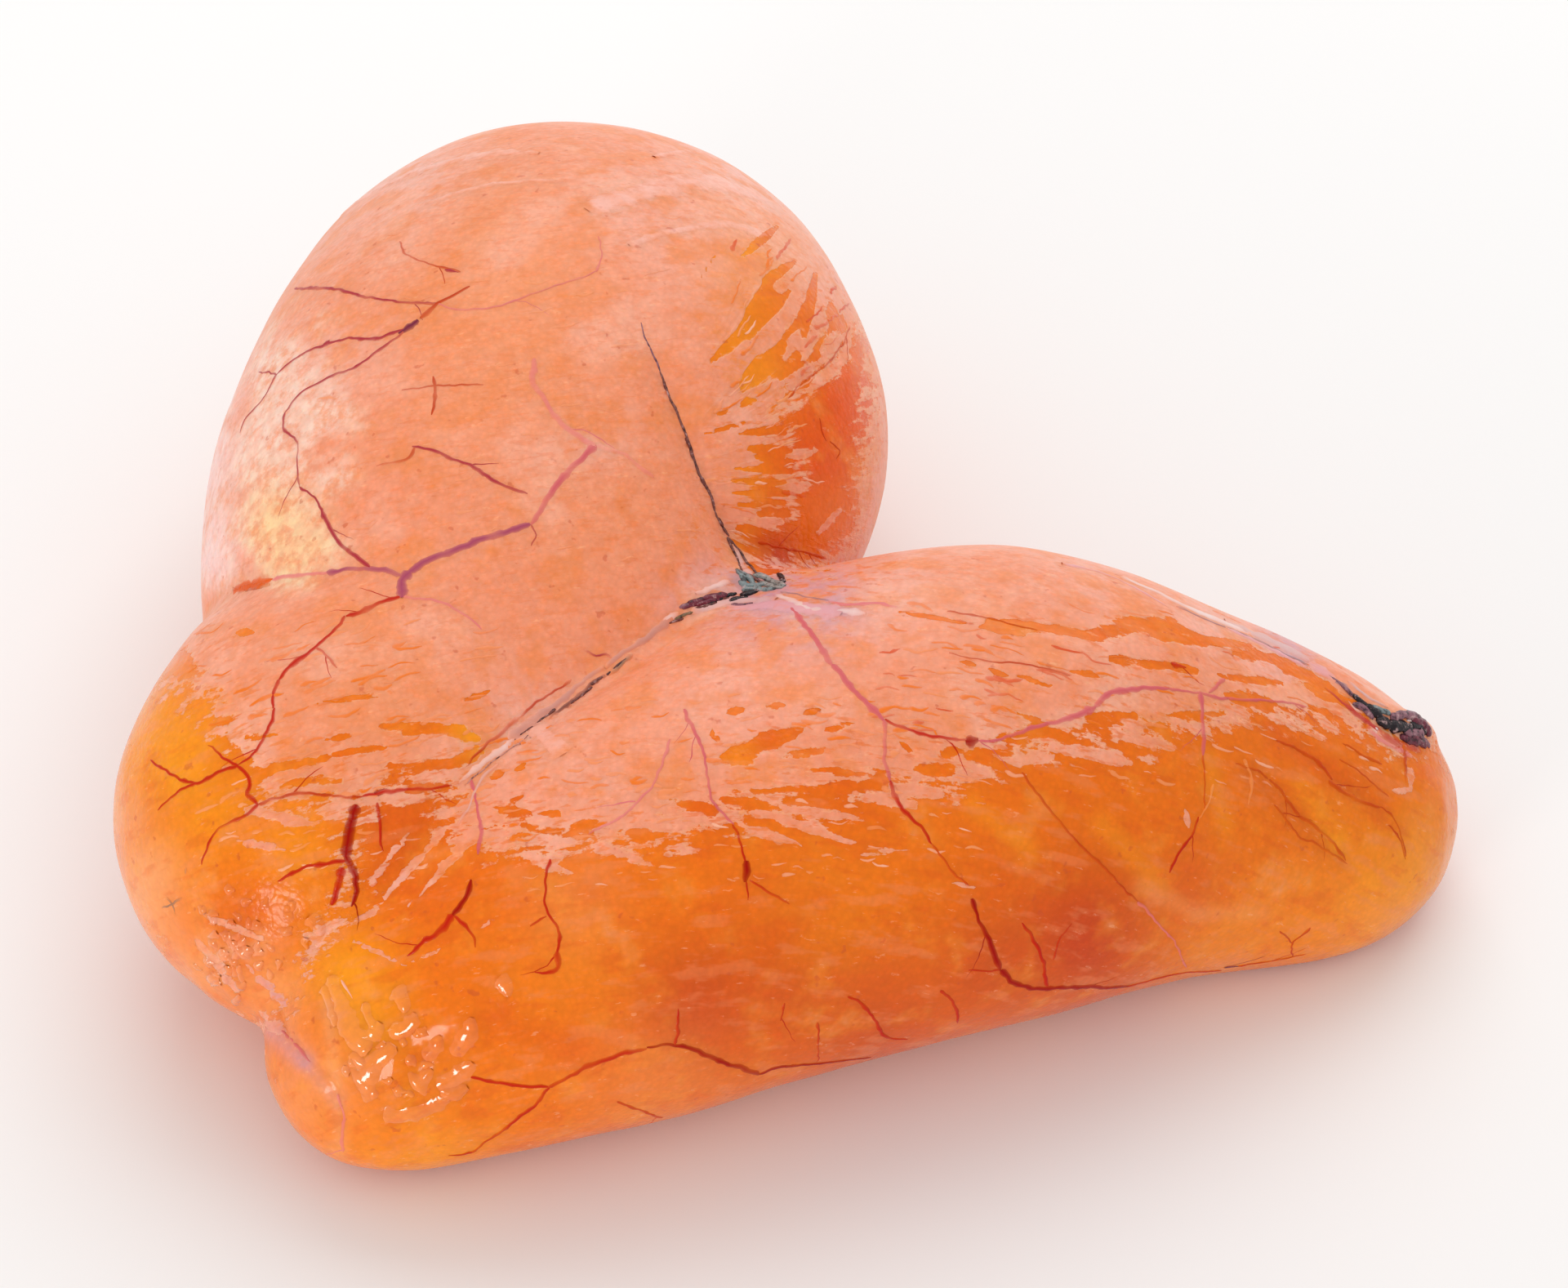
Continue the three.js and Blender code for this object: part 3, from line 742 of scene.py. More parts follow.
# Colour, width in mm at the start and at the end, how strongly it shows, and its course.
VESSELS_AND_PAINTED_LINES = (
    (WINE, 0.5, 0.4, 0.8, ((360, 355), (411, 354), (455, 364), (505, 371), (536, 371))),
    (ROSE, 0.4, 0.3, 0.6, ((536, 371), (567, 380), (611, 374), (649, 362), (692, 346), (730, 333))),
    (ROSE, 0.3, 0.3, 0.5, ((730, 333), (736, 311), (733, 289))),
    (RUST, 0.4, 0.8, 0.8, ((575, 350), (545, 366), (530, 377), (515, 390))),
    (GRAPE, 1.2, 0.8, 1.0, ((512, 392), (499, 402), (488, 408))),
    (WINE, 0.6, 0.4, 0.9, ((499, 402), (461, 414), (430, 414), (399, 422), (367, 436), (339, 458))),
    (WINE, 0.9, 0.7, 1.0, ((404, 418), (394, 425))),
    (WINE, 0.5, 0.3, 0.8, ((339, 458), (324, 486), (302, 511), (294, 530))),
    (WINE, 0.4, 0.3, 0.8, ((339, 458), (317, 455))),
    (WINE, 0.6, 0.4, 0.8, ((499, 402), (467, 427), (436, 449), (399, 464), (367, 483), (349, 505))),
    (WINE, 0.4, 0.3, 0.7, ((349, 505), (347, 524), (364, 542), (364, 567), (367, 596))),
    (WINE, 0.4, 0.7, 0.9, ((367, 596), (388, 612), (398, 635), (411, 658), (436, 683), (455, 696))),
    (PLUM, 0.6, 0.8, 0.7, ((400, 701), (455, 696), (480, 702), (492, 706))),
    # Painted shade: the next two strips darken the fold where the dome meets the left lobe.
    (EMBER, 0.8, 1.8, 0.9, ((286, 724), (297, 719), (308, 716))),
    (EMBER, 1.6, 0.5, 0.8, ((308, 716), (320, 713), (334, 710))),
    (ROSE, 0.6, 0.5, 0.7, ((334, 710), (365, 704), (410, 701))),
    (RUST, 0.3, 0.4, 0.6, ((489, 296), (499, 311), (530, 324), (564, 333))),
    (WINE, 0.5, 0.3, 0.8, ((545, 330), (562, 333))),
    (RUST, 0.4, 0.4, 0.7, ((530, 461), (533, 480), (530, 508))),
    (RUST, 0.3, 0.4, 0.6, ((492, 477), (533, 473), (592, 472))),
    (WINE, 0.4, 0.5, 0.8, ((505, 546), (530, 552), (561, 564), (592, 580), (624, 596), (646, 604))),
    (RUST, 0.4, 0.3, 0.6, ((508, 548), (498, 563), (461, 571))),
    (ROSE, 0.8, 0.9, 0.5, ((654, 439), (652, 467), (667, 489), (686, 517), (711, 536), (730, 546))),
    (ROSE, 0.9, 0.6, 0.3, ((730, 546), (765, 556), (800, 585))),
    (ORCHID, 0.9, 1.0, 0.8, ((730, 546), (705, 567), (680, 596), (661, 624), (649, 642))),
    (PLUM, 0.8, 1.1, 0.9, ((649, 642), (611, 655), (580, 664), (542, 680), (517, 689), (499, 702))),
    (PLUM, 1.1, 1.3, 0.9, ((503, 700), (492, 712), (492, 732))),
    (ROSE, 0.5, 0.3, 0.6, ((492, 730), (530, 735), (565, 750), (590, 770))),
    (WINE, 0.3, 0.3, 0.6, ((649, 642), (656, 655), (650, 668))),
    (CRIMSON, 0.7, 0.9, 0.8, ((492, 730), (468, 736), (441, 748), (424, 755))),
    (CRIMSON, 0.7, 0.6, 0.9, ((424, 755), (407, 775), (387, 792), (367, 806), (350, 819), (340, 833))),
    (CRIMSON, 0.8, 0.8, 1.0, ((340, 833), (336, 850), (336, 867))),
    (CRIMSON, 0.5, 0.5, 0.9, ((336, 867), (329, 890), (319, 910), (306, 927), (292, 937))),
    (CRIMSON, 0.4, 0.3, 0.7, ((387, 792), (400, 802), (414, 817))),
    (CRIMSON, 0.6, 0.4, 1.0, ((292, 937), (270, 944), (242, 958), (225, 956), (208, 948), (184, 931))),
    (CRIMSON, 0.4, 0.3, 0.9, ((242, 958), (221, 968), (204, 981), (193, 992))),
    (CRIMSON, 0.5, 0.3, 0.9, ((292, 937), (275, 927), (255, 912))),
    (CRIMSON, 0.7, 0.7, 1.0, ((292, 937), (304, 948), (306, 961), (302, 973), (316, 985))),
    (RUST, 0.5, 0.4, 0.8, ((316, 985), (340, 978), (367, 970), (394, 973), (417, 975), (444, 975))),
    (CRIMSON, 0.5, 0.4, 0.8, ((444, 975), (468, 970), (495, 968), (536, 965), (553, 961))),
    (BLOOD, 1.1, 1.0, 1.0, ((458, 972), (470, 969), (482, 968))),
    (CRIMSON, 0.5, 0.3, 0.8, ((316, 985), (292, 1002), (265, 1015), (255, 1032), (248, 1059))),
    (BLOOD, 1.0, 1.6, 1.0, ((436, 985), (431, 1005), (427, 1025), (424, 1050))),
    (CRIMSON, 0.6, 0.4, 1.0, ((422, 1052), (400, 1056), (380, 1059), (363, 1068), (340, 1079))),
    (BLOOD, 1.2, 0.6, 1.0, ((424, 1048), (434, 1068), (437, 1088), (431, 1110))),
    (CRIMSON, 0.9, 0.7, 0.9, ((419, 1062), (414, 1090), (407, 1108))),
    (CRIMSON, 0.5, 0.3, 0.7, ((461, 983), (463, 1005), (465, 1022), (470, 1042))),
    (ORCHID, 0.6, 0.5, 0.8, ((578, 955), (585, 990), (589, 1015), (586, 1046))),
    (BLOOD, 0.6, 1.3, 1.0, ((577, 1077), (570, 1098), (555, 1121))),
    (CRIMSON, 1.0, 0.5, 1.0, ((555, 1121), (536, 1140), (515, 1156), (499, 1171))),
    (CRIMSON, 0.5, 0.3, 0.8, ((555, 1121), (577, 1140), (583, 1160))),
    (CRIMSON, 0.4, 0.4, 0.8, ((674, 1052), (669, 1077), (669, 1115), (683, 1140), (683, 1171))),
    (CRIMSON, 0.6, 0.4, 0.8, ((683, 1165), (680, 1187), (655, 1190))),
    (CRIMSON, 0.3, 0.3, 0.6, ((649, 1134), (669, 1122))),
    (ORCHID, 0.5, 0.4, 0.7, ((839, 868), (849, 896), (861, 921), (867, 952), (874, 981), (899, 1009))),
    (ROSE, 0.4, 0.3, 0.6, ((820, 905), (800, 960), (760, 1000), (720, 1020))),
    (CRIMSON, 0.4, 0.4, 0.8, ((899, 1009), (908, 1034), (914, 1056))),
    (BLOOD, 0.9, 0.9, 1.0, ((914, 1054), (914, 1080))),
    (CRIMSON, 0.3, 0.3, 0.7, ((914, 1078), (917, 1102))),
    (CRIMSON, 0.3, 0.3, 0.6, ((918, 1078), (942, 1093), (967, 1106))),
    (CRIMSON, 0.7, 0.7, 0.9, ((577, 1318), (605, 1324), (636, 1329), (671, 1331))),
    (CRIMSON, 0.7, 0.5, 0.8, ((671, 1331), (699, 1318), (730, 1302), (761, 1290), (792, 1284))),
    (BLOOD, 0.5, 1.0, 0.9, ((792, 1284), (824, 1279), (855, 1287), (892, 1302), (930, 1315))),
    (CRIMSON, 0.5, 0.3, 0.7, ((826, 1279), (830, 1256), (832, 1235))),
    (BLOOD, 0.9, 0.6, 0.9, ((930, 1315), (961, 1306), (1005, 1302), (1067, 1294))),
    (CRIMSON, 0.6, 0.5, 0.8, ((671, 1331), (655, 1352), (630, 1371), (599, 1396), (577, 1412))),
    (CRIMSON, 0.9, 0.4, 0.8, ((580, 1410), (565, 1414), (549, 1415))),
    (CRIMSON, 0.4, 0.6, 0.7, ((755, 1349), (786, 1359), (811, 1368))),
    (CRIMSON, 0.3, 0.3, 0.6, ((1000, 1252), (1001, 1300))),
    (CRIMSON, 0.3, 0.3, 0.6, ((962, 1228), (955, 1250))),
    (ORCHID, 0.5, 0.9, 0.7, ((961, 737), (993, 775), (1019, 814))),
    (ORCHID, 1.0, 0.6, 0.9, ((1019, 814), (1045, 846), (1083, 882))),
    (CRIMSON, 0.5, 0.5, 0.8, ((1083, 882), (1122, 898), (1161, 905), (1190, 907))),
    (BLOOD, 1.2, 1.2, 1.0, ((1182, 908), (1198, 907))),
    (ORCHID, 0.4, 0.9, 0.8, ((1198, 907), (1225, 905), (1264, 891), (1315, 878), (1341, 865))),
    (ORCHID, 0.9, 0.6, 0.8, ((1341, 865), (1360, 849), (1393, 843), (1431, 843))),
    (ORCHID, 0.6, 0.4, 0.7, ((1431, 843), (1470, 849), (1502, 856), (1560, 858), (1600, 866))),
    (ORCHID, 0.7, 0.6, 0.7, ((1470, 849), (1473, 878), (1473, 925))),
    (CRIMSON, 0.4, 0.3, 0.5, ((1473, 925), (1475, 990))),
    (ORCHID, 0.5, 0.4, 0.6, ((1500, 832), (1480, 848))),
    (ORCHID, 0.5, 0.5, 0.7, ((1083, 882), (1083, 917), (1090, 956))),
    (CRIMSON, 0.6, 0.5, 0.9, ((1090, 956), (1103, 988), (1129, 1014), (1141, 1033))),
    (CRIMSON, 0.4, 0.3, 0.5, ((1141, 1033), (1165, 1065), (1186, 1084))),
    (BLOOD, 0.5, 0.8, 0.9, ((1190, 1100), (1196, 1117), (1212, 1155), (1225, 1188))),
    (BLOOD, 0.8, 0.8, 1.0, ((1225, 1188), (1251, 1208), (1290, 1210), (1328, 1208), (1380, 1208))),
    (CRIMSON, 0.7, 0.5, 0.9, ((1380, 1208), (1444, 1192), (1496, 1188))),
    (GRAPE, 1.1, 1.0, 1.0, ((1500, 1184), (1516, 1183))),
    (CRIMSON, 0.5, 0.4, 0.8, ((1516, 1183), (1560, 1176), (1599, 1168))),
    (CRIMSON, 0.6, 0.4, 0.9, ((1283, 1207), (1277, 1175), (1264, 1149), (1251, 1130))),
    (CRIMSON, 0.3, 0.3, 0.5, ((1290, 1175), (1297, 1150), (1312, 1130))),
    (CRIMSON, 0.3, 0.3, 0.7, ((1225, 1188), (1186, 1188))),
    (CRIMSON, 0.5, 0.4, 0.8, ((1151, 1213), (1167, 1226), (1174, 1252))),
    (CRIMSON, 0.4, 0.4, 0.7, ((1038, 1220), (1064, 1239), (1083, 1268), (1109, 1274))),
    (RUST, 0.4, 0.3, 0.6, ((1251, 946), (1277, 981), (1315, 1026), (1354, 1065), (1393, 1104))),
    (ROSE, 0.4, 0.3, 0.6, ((1393, 1104), (1438, 1155), (1452, 1185))),
    (CRIMSON, 0.4, 0.7, 0.9, ((1467, 1000), (1457, 1026), (1444, 1046), (1431, 1068))),
    (CRIMSON, 0.4, 0.3, 0.7, ((1605, 1136), (1583, 1155), (1583, 1171))),
    (CRIMSON, 0.3, 0.3, 0.7, ((1567, 1140), (1583, 1155))),
    (CRIMSON, 0.8, 0.8, 0.9, ((1434, 813), (1452, 817))),
    (RUST, 0.3, 0.3, 0.7, ((1700, 1010), (1715, 1030), (1721, 1052))),
    # Painted shade: the next four strips run in the right sac's creases.
    (RUST, 0.4, 0.7, 0.6, ((1562, 906), (1590, 918), (1611, 931), (1631, 955))),
    (RUST, 0.9, 0.4, 0.55, ((1627, 957), (1652, 974), (1690, 990))),
    (RUST, 0.3, 0.5, 0.55, ((1513, 935), (1540, 944), (1558, 957), (1575, 978), (1591, 1000))),
    (RUST, 0.5, 0.4, 0.55, ((1591, 1000), (1619, 1020), (1648, 1053))),
    (RUST, 0.3, 0.5, 0.55, ((1644, 910), (1668, 924), (1692, 936))),
    (RUST, 0.3, 0.3, 0.6, ((1690, 988), (1708, 1004), (1722, 1048))),
    (RUST, 0.3, 0.3, 0.6, ((1640, 930), (1672, 950), (1700, 976))),
    (RUST, 0.3, 0.3, 0.5, ((1560, 985), (1590, 1022), (1612, 1034), (1650, 1058))),
    # Painted shade: the shadow under the film's curl, in the flank's crease.
    (RUST, 0.3, 0.3, 0.6, ((1041, 402), (1024, 432), (995, 458), (964, 486))),
    (RUST, 0.3, 0.3, 0.7, ((1003, 512), (1006, 528), (1012, 540))),
    (RUST, 0.3, 0.3, 0.7, ((1016, 540), (1028, 552), (1024, 562))),
    # Painted shade where the dome meets the front lobe.
    (RUST, 0.4, 0.4, 0.7, ((928, 664), (955, 670), (985, 676), (1012, 684))),
    (RUST, 0.3, 0.3, 0.6, ((1162, 800), (1200, 806), (1260, 815), (1310, 828))),
    (RUST, 0.3, 0.4, 0.6, ((1160, 748), (1220, 760), (1270, 772))),
    (BLUSH, 0.6, 0.4, 0.35, ((1522, 930), (1531, 952), (1528, 985))),
    (BLUSH, 0.4, 0.4, 0.35, ((1486, 960), (1480, 985), (1466, 1004))),
    # Painted glints on the wet front end: the next two pale strips.
    (MILKY, 0.4, 0.3, 0.6, ((400, 1215), (412, 1235), (420, 1262))),
    (MILKY, 0.3, 0.3, 0.6, ((418, 1200), (432, 1222))),
    (ORCHID, 0.5, 0.4, 0.6, ((345, 1262), (362, 1280), (380, 1300))),
    (ROSE, 0.4, 0.6, 0.5, ((412, 1340), (420, 1370), (420, 1410))),
)
# Beyond the photograph's reach, vessels like these start at such places, in mm, and wander on.
UNSEEN = (
    (-70, 20, 50), (-60, 60, 45), (-30, 76, 40), (0, 66, 38), (12, 30, 45), (10, 15, 20),
    (40, -5, 30), (60, -8, 25), (20, -10, 30), (-75, -15, 20), (-60, -5, 4), (40, -30, 3),
    (-20, 80, 25), (-55, 74, 22), (52, 4, 25), (72, -8, 15), (-80, 35, 25), (5, 50, 22),
)
VESSEL_STEP = 0.0004
WANDER_STEP = 0.0013
TWIGS = 0.13
VESSEL_LIFT = 0.00011
ACROSS = (-1.0, -0.5, 0.0, 0.5, 1.0)
FEATHER = 1.35
TUCK = 0.00007
TURN = 0.13
BRANCH_EVERY = 9
BRANCH_WIDTH = 0.35  # a thinner vessel, in mm, has no branches
BRANCH_TURN = 0.8
SEEN = 0.3  # the vessels of the unseen side end where the skin counts as seen by more than this
NEAR_TABLE = 0.0005
UNSEEN_LENGTH = 0.045
TWIG_WIDTH = 0.2
chance = random.Random(7)


def snap(point):
    """The place on the skin nearest a point, its outward direction and the face it lies on."""
    at, normal, face, _ = skin_tree.find_nearest(point)
    return at, normal, face


def wander(point, way, length, width, hue, strips, everywhere=False):
    """Grows one vessel over the skin from a point, with branches, each thinner than the last."""
    line = []
    turn = chance.uniform(-0.1, 0.1)
    for step in range(int(length / WANDER_STEP)):
        point, normal, face = snap(point)
        in_sight = shown[faces[face][0]] > SEEN and not everywhere
        if in_sight or point.z < NEAR_TABLE:
            break
        line.append(point)
        turn = 0.6 * turn + chance.uniform(-TURN, TURN)
        way = way - way.dot(normal) * normal
        way = (way.normalized() + turn * normal.cross(way.normalized())).normalized()
        point = point + WANDER_STEP * way
        if step % BRANCH_EVERY == 6 and width > BRANCH_WIDTH:
            side = chance.choice((-BRANCH_TURN, BRANCH_TURN))
            branch = (way + side * normal.cross(way)).normalized()
            reach = length * chance.uniform(0.35, 0.6)
            wander(point, branch, reach, 0.72 * width, hue, strips, everywhere)
    if len(line) > 3:
        strips.append((hue, width, 0.5 * width, 0.8, line))


strips = []
for blood, start, end, strength, course in VESSELS_AND_PAINTED_LINES:
    line = lay_on_skin(course)
    strips.append((blood, start, end, strength, line))
    for a, b in zip(line, line[1:]):
        if chance.random() < TWIGS:
            way = (b - a).normalized()
            side = chance.choice((-BRANCH_TURN, BRANCH_TURN)) * snap(a)[1].cross(way)
            reach = chance.uniform(0.0045, 0.008)
            root = a.lerp(b, chance.random())
            wander(root, way + side, reach, TWIG_WIDTH, blood, strips, everywhere=True)
for spot in UNSEEN:
    way = Vector((chance.uniform(-1, 1), chance.uniform(-1, 1), chance.uniform(-1, 1)))
    hue = chance.choice((WINE, CRIMSON))
    wander(Vector(spot) * MM, way, UNSEEN_LENGTH, chance.uniform(0.5, 0.9), hue, strips)


def wobble(step, pace, wave, kind):
    """A soft random value between -1 and 1 for a step along a line."""
    return noise.noise(Vector((step * pace, wave, kind)))


def along(line, i):
    """How far along the line a step is, and there the skin's place, outward way and sideways way."""
    run = (line[min(i + 1, len(line) - 1)] - line[max(i - 1, 0)]).normalized()
    at, normal, _ = snap(line[i])
    return i / max(1, len(line) - 1), at, normal, normal.cross(run).normalized()


def round_off(mesh):
    """Shades a mesh smooth."""
    mesh.polygons.foreach_set("use_smooth", np.ones(len(mesh.polygons), bool))


def new_piece(name, places, faces):
    """A new piece from its corners and faces."""
    piece = bpy.data.objects.new(name, bpy.data.meshes.new(name))
    piece.data.from_pydata(places, [], faces)
    bpy.context.scene.collection.objects.link(piece)
    return piece


def ribbons(name, strips, wear, fade, lift=VESSEL_LIFT):
    """Makes one piece of strips laid on the skin, each bulging a little with its edges tucked in."""
    laid, patches, under, dyes = [], [], [], []
    for hue, start, end, strength, course in strips:
        if len(course) < 2:
            continue
        line = smooth_line(course, VESSEL_STEP)
        wave = chance.uniform(0, 100)
        rows = []
        for i in range(len(line)):
            share, at, normal, side = along(line, i)
            drift = 0.0003 * wobble(i, 0.11, wave, 0) + 0.0002 * wobble(i, 0.37, wave, 3)
            knotty = 0.9 + 0.4 * wobble(i, 0.07, wave, 1)
            knotty += 1.1 * max(0, wobble(i, 0.31, wave, 5) - 0.1)
            ends = min(1, (i + 1.2) / 2.2, (len(line) - i + 0.2) / 3)
            half = 0.5 * MM * (start + (end - start) * share) * knotty * ends * FEATHER
            faint = min(1, strength * (1.15 + 0.6 * wobble(i, 0.13, wave, 9)))
            faint *= min(1, (i + 1) / fade, (len(line) - i) / fade)
            rows.append([])
            for part in ACROSS:
                spot, out_way, face = snap(at + side * (drift + part * half))
                rise = min(lift * knotty, 0.45 * half) * (1 - part * part)
                spot = spot + out_way * (rise - TUCK * abs(part) ** 3)
                spot.z = min(max(spot.z, cad_low[2]), cad_high[2])
                rows[-1].append(len(laid))
                laid.append(spot)
                under.append(face)
                dyes.append(colour(hue, faint * min(1, 1.6 * (1 - abs(part)))))
        for here, after in zip(rows, rows[1:]):
            for k in range(len(ACROSS) - 1):
                patches.append((here[k], here[k + 1], after[k + 1], after[k]))
    piece = new_piece(name, laid, patches)
    near = np.array([faces[face] for face in under])
    gaps = np.linalg.norm(places[near] - np.array(laid)[:, None, :], axis=2) + 1e-5
    shares = (1 / gaps**2) / (1 / gaps**2).sum(axis=1, keepdims=True)
    for mark, values in marks.items():
        keep(piece.data, mark, "FLOAT", (values[near] * shares).sum(axis=1))
    for kind, group in (("FLOAT_COLOR", hues), ("FLOAT_VECTOR", combs)):
        for mark, values in group.items():
            keep(piece.data, mark, kind, (values[near] * shares[:, :, None]).sum(axis=1))
    keep(piece.data, "vessel", "FLOAT_COLOR", dyes)
    piece.data.materials.append(wear)
    round_off(piece.data)
    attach(piece, "root")


ribbons("blood_vessels", strips, wet_look("wet vessels", 0.0, 0.05, 0.10), 1)

# The film and its painted sheen split into fine slits that show the orange under them, and threads of
# them are left lying on the bare skin. They run with the film's streaks.
PALE_THREAD = (246, 178, 146)
# A region of the photograph, how many, width in mm, length in pixels, the film there and the hues.
SPLITS = (
    (390, 240, 900, 690, 45, 0.6, 36, (2, 20), (APRICOT, PEACH), 0.5),
    (240, 760, 600, 980, 90, 0.8, 46, (0.2, 20), (ORANGE, APRICOT), 0.8),
    (600, 850, 1200, 1030, 130, 0.8, 34, (0.2, 20), (ORANGE, APRICOT), 0.85),
    (1080, 740, 1660, 900, 100, 0.75, 44, (0.2, 20), (ORANGE, APRICOT, DEEP), 0.8),
    (890, 300, 1050, 680, 55, 0.7, 34, (0.4, 20), (ORANGE, DEEP), 0.8),
    (600, 970, 1200, 1100, 70, 0.6, 28, (-9, 0), (PALE_THREAD, PEACH), 0.7),
    (1180, 870, 1720, 960, 50, 0.6, 28, (-9, 0), (PALE_THREAD, PEACH), 0.7),
    (850, 320, 1000, 660, 50, 0.45, 36, (-6, 1), (PALE_THREAD, PEACH), 0.8),
    (230, 950, 560, 1090, 45, 0.6, 32, (-9, 0), (PALE_THREAD, PEACH), 0.6),
)
SPLIT_LIFT = 0.00005
splits = []
for left, top, right, bottom, count, width, reach, (least, most), tints, strength in SPLITS:
    for _ in range(count):
        spot = Vector((chance.uniform(left, right), chance.uniform(top, bottom)))
        aim = seen_from(spot.x, spot.y)
        at, _, face, _ = skin_tree.ray_cast(camera_place, aim)
        if at is None or not least < film_and_sheen[faces[face][0]] < most:
            continue
        fans = flank[faces[face][0]] > 0.5
        way = (spot - Vector(FAN_MIDDLE if fans else COMB_MIDDLE)).normalized()
        if not fans:
            way = Vector((-way.y, way.x))
        way = (way + Vector((0, chance.gauss(0, 0.12)))).normalized()
        way = way * reach * chance.uniform(0.3, 1)
        bend = Vector((-way.y, way.x)) * chance.uniform(-0.15, 0.15)
        course = lay_on_skin([tuple(spot - way / 2), tuple(spot + bend), tuple(spot + way / 2)])
        wide = width * chance.uniform(0.6, 1.5)
        tint = chance.choice(tints)
        splits.append((tint, 0.7 * wide, 0.5 * wide, strength * chance.uniform(0.5, 1.1), course))
wet_strips = wet_look("wet strips", 0.0)
ribbons("film_splits", splits, wet_strips, 1.5, SPLIT_LIFT)

# The wet skin hangs in small loose wrinkles at the front end and on the lobe beside it. They stand
# up from the skin, have its own look and catch the light. Each row: the width in mm and the course
# over the photograph.
WRINKLES = (
    (2.2, ((404, 1196), (414, 1222), (424, 1250), (436, 1272), (452, 1288))),
    (2.2, ((428, 1262), (444, 1270), (458, 1266), (466, 1252))),
    (2.2, ((438, 1328), (450, 1318), (460, 1300), (472, 1288), (486, 1284))),
    (2.0, ((478, 1258), (490, 1264), (502, 1256), (508, 1240))),
    (2.0, ((484, 1210), (492, 1222), (496, 1240))),
    (2.2, ((470, 1364), (492, 1368), (514, 1362), (536, 1352), (548, 1342))),
    (2.2, ((536, 1330), (552, 1324), (566, 1314), (578, 1300))),
    (2.2, ((556, 1292), (566, 1278), (574, 1262), (578, 1246))),
    (1.8, ((520, 1296), (532, 1284), (540, 1268))),
    (2.0, ((505, 1330), (518, 1322), (530, 1310))),
    (1.4, ((396, 1208), (404, 1232), (412, 1256))),
    (1.4, ((446, 1228), (452, 1246), (462, 1262))),
    (1.6, ((430, 1290), (440, 1300), (452, 1304))),
    (1.6, ((444, 1326), (452, 1338), (450, 1350))),
    (1.6, ((540, 1336), (556, 1338), (572, 1330))),
    (2.2, ((378, 1122), (388, 1132), (392, 1146))),
    (2.2, ((610, 1198), (618, 1206), (622, 1220))),
)
WRINKLE_LIFT = 0.00032
# Where smaller wrinkles are strewn: the middle, the reach and how many.
WRINKLED = ((288, 1180, 40, 34), (270, 1130, 34, 18), (350, 1130, 26, 4), (470, 1290, 70, 16))
folds = []
for wide, course in WRINKLES:
    folds.append((ORANGE, wide, 0.75 * wide, 0.0, lay_on_skin(course)))
for u, v, reach, count in WRINKLED:
    for _ in range(count):
        start = Vector((u + chance.gauss(0, 0.6) * reach, v + chance.gauss(0, 0.6) * reach))
        way = Vector((chance.uniform(-1, 1), chance.uniform(-1, 1))).normalized()
        bend = Vector((-way.y, way.x)) * chance.uniform(-4, 4)
        course = [start, start + 6 * way + bend, start + 13 * way]
        folds.append((ORANGE, 1.1, 0.8, 0.0, lay_on_skin([tuple(p) for p in course])))
ribbons("wet_wrinkles", folds, wet_look("wet wrinkles", 0.0, 1.0), 1, WRINKLE_LIFT)

# The gut lining: shreds that stayed on the roe where it was cut free. Pale flat membrane lies in
# the folds and along the ridge to the right tip, with strips of painted shade beside it. Pale pink
# strips over the dome's top and left rim are painted sheen, and a few white ones are painted glints.
ASH = (214, 174, 172)
TAWNY = (200, 136, 122)
SHELL_WHITE = (236, 208, 204)
MAUVE = (226, 164, 172)
SHADE_MAUVE = (156, 120, 128)
SCARLET = (190, 52, 50)
STAIN = (128, 104, 84)
UMBER = (112, 56, 48)
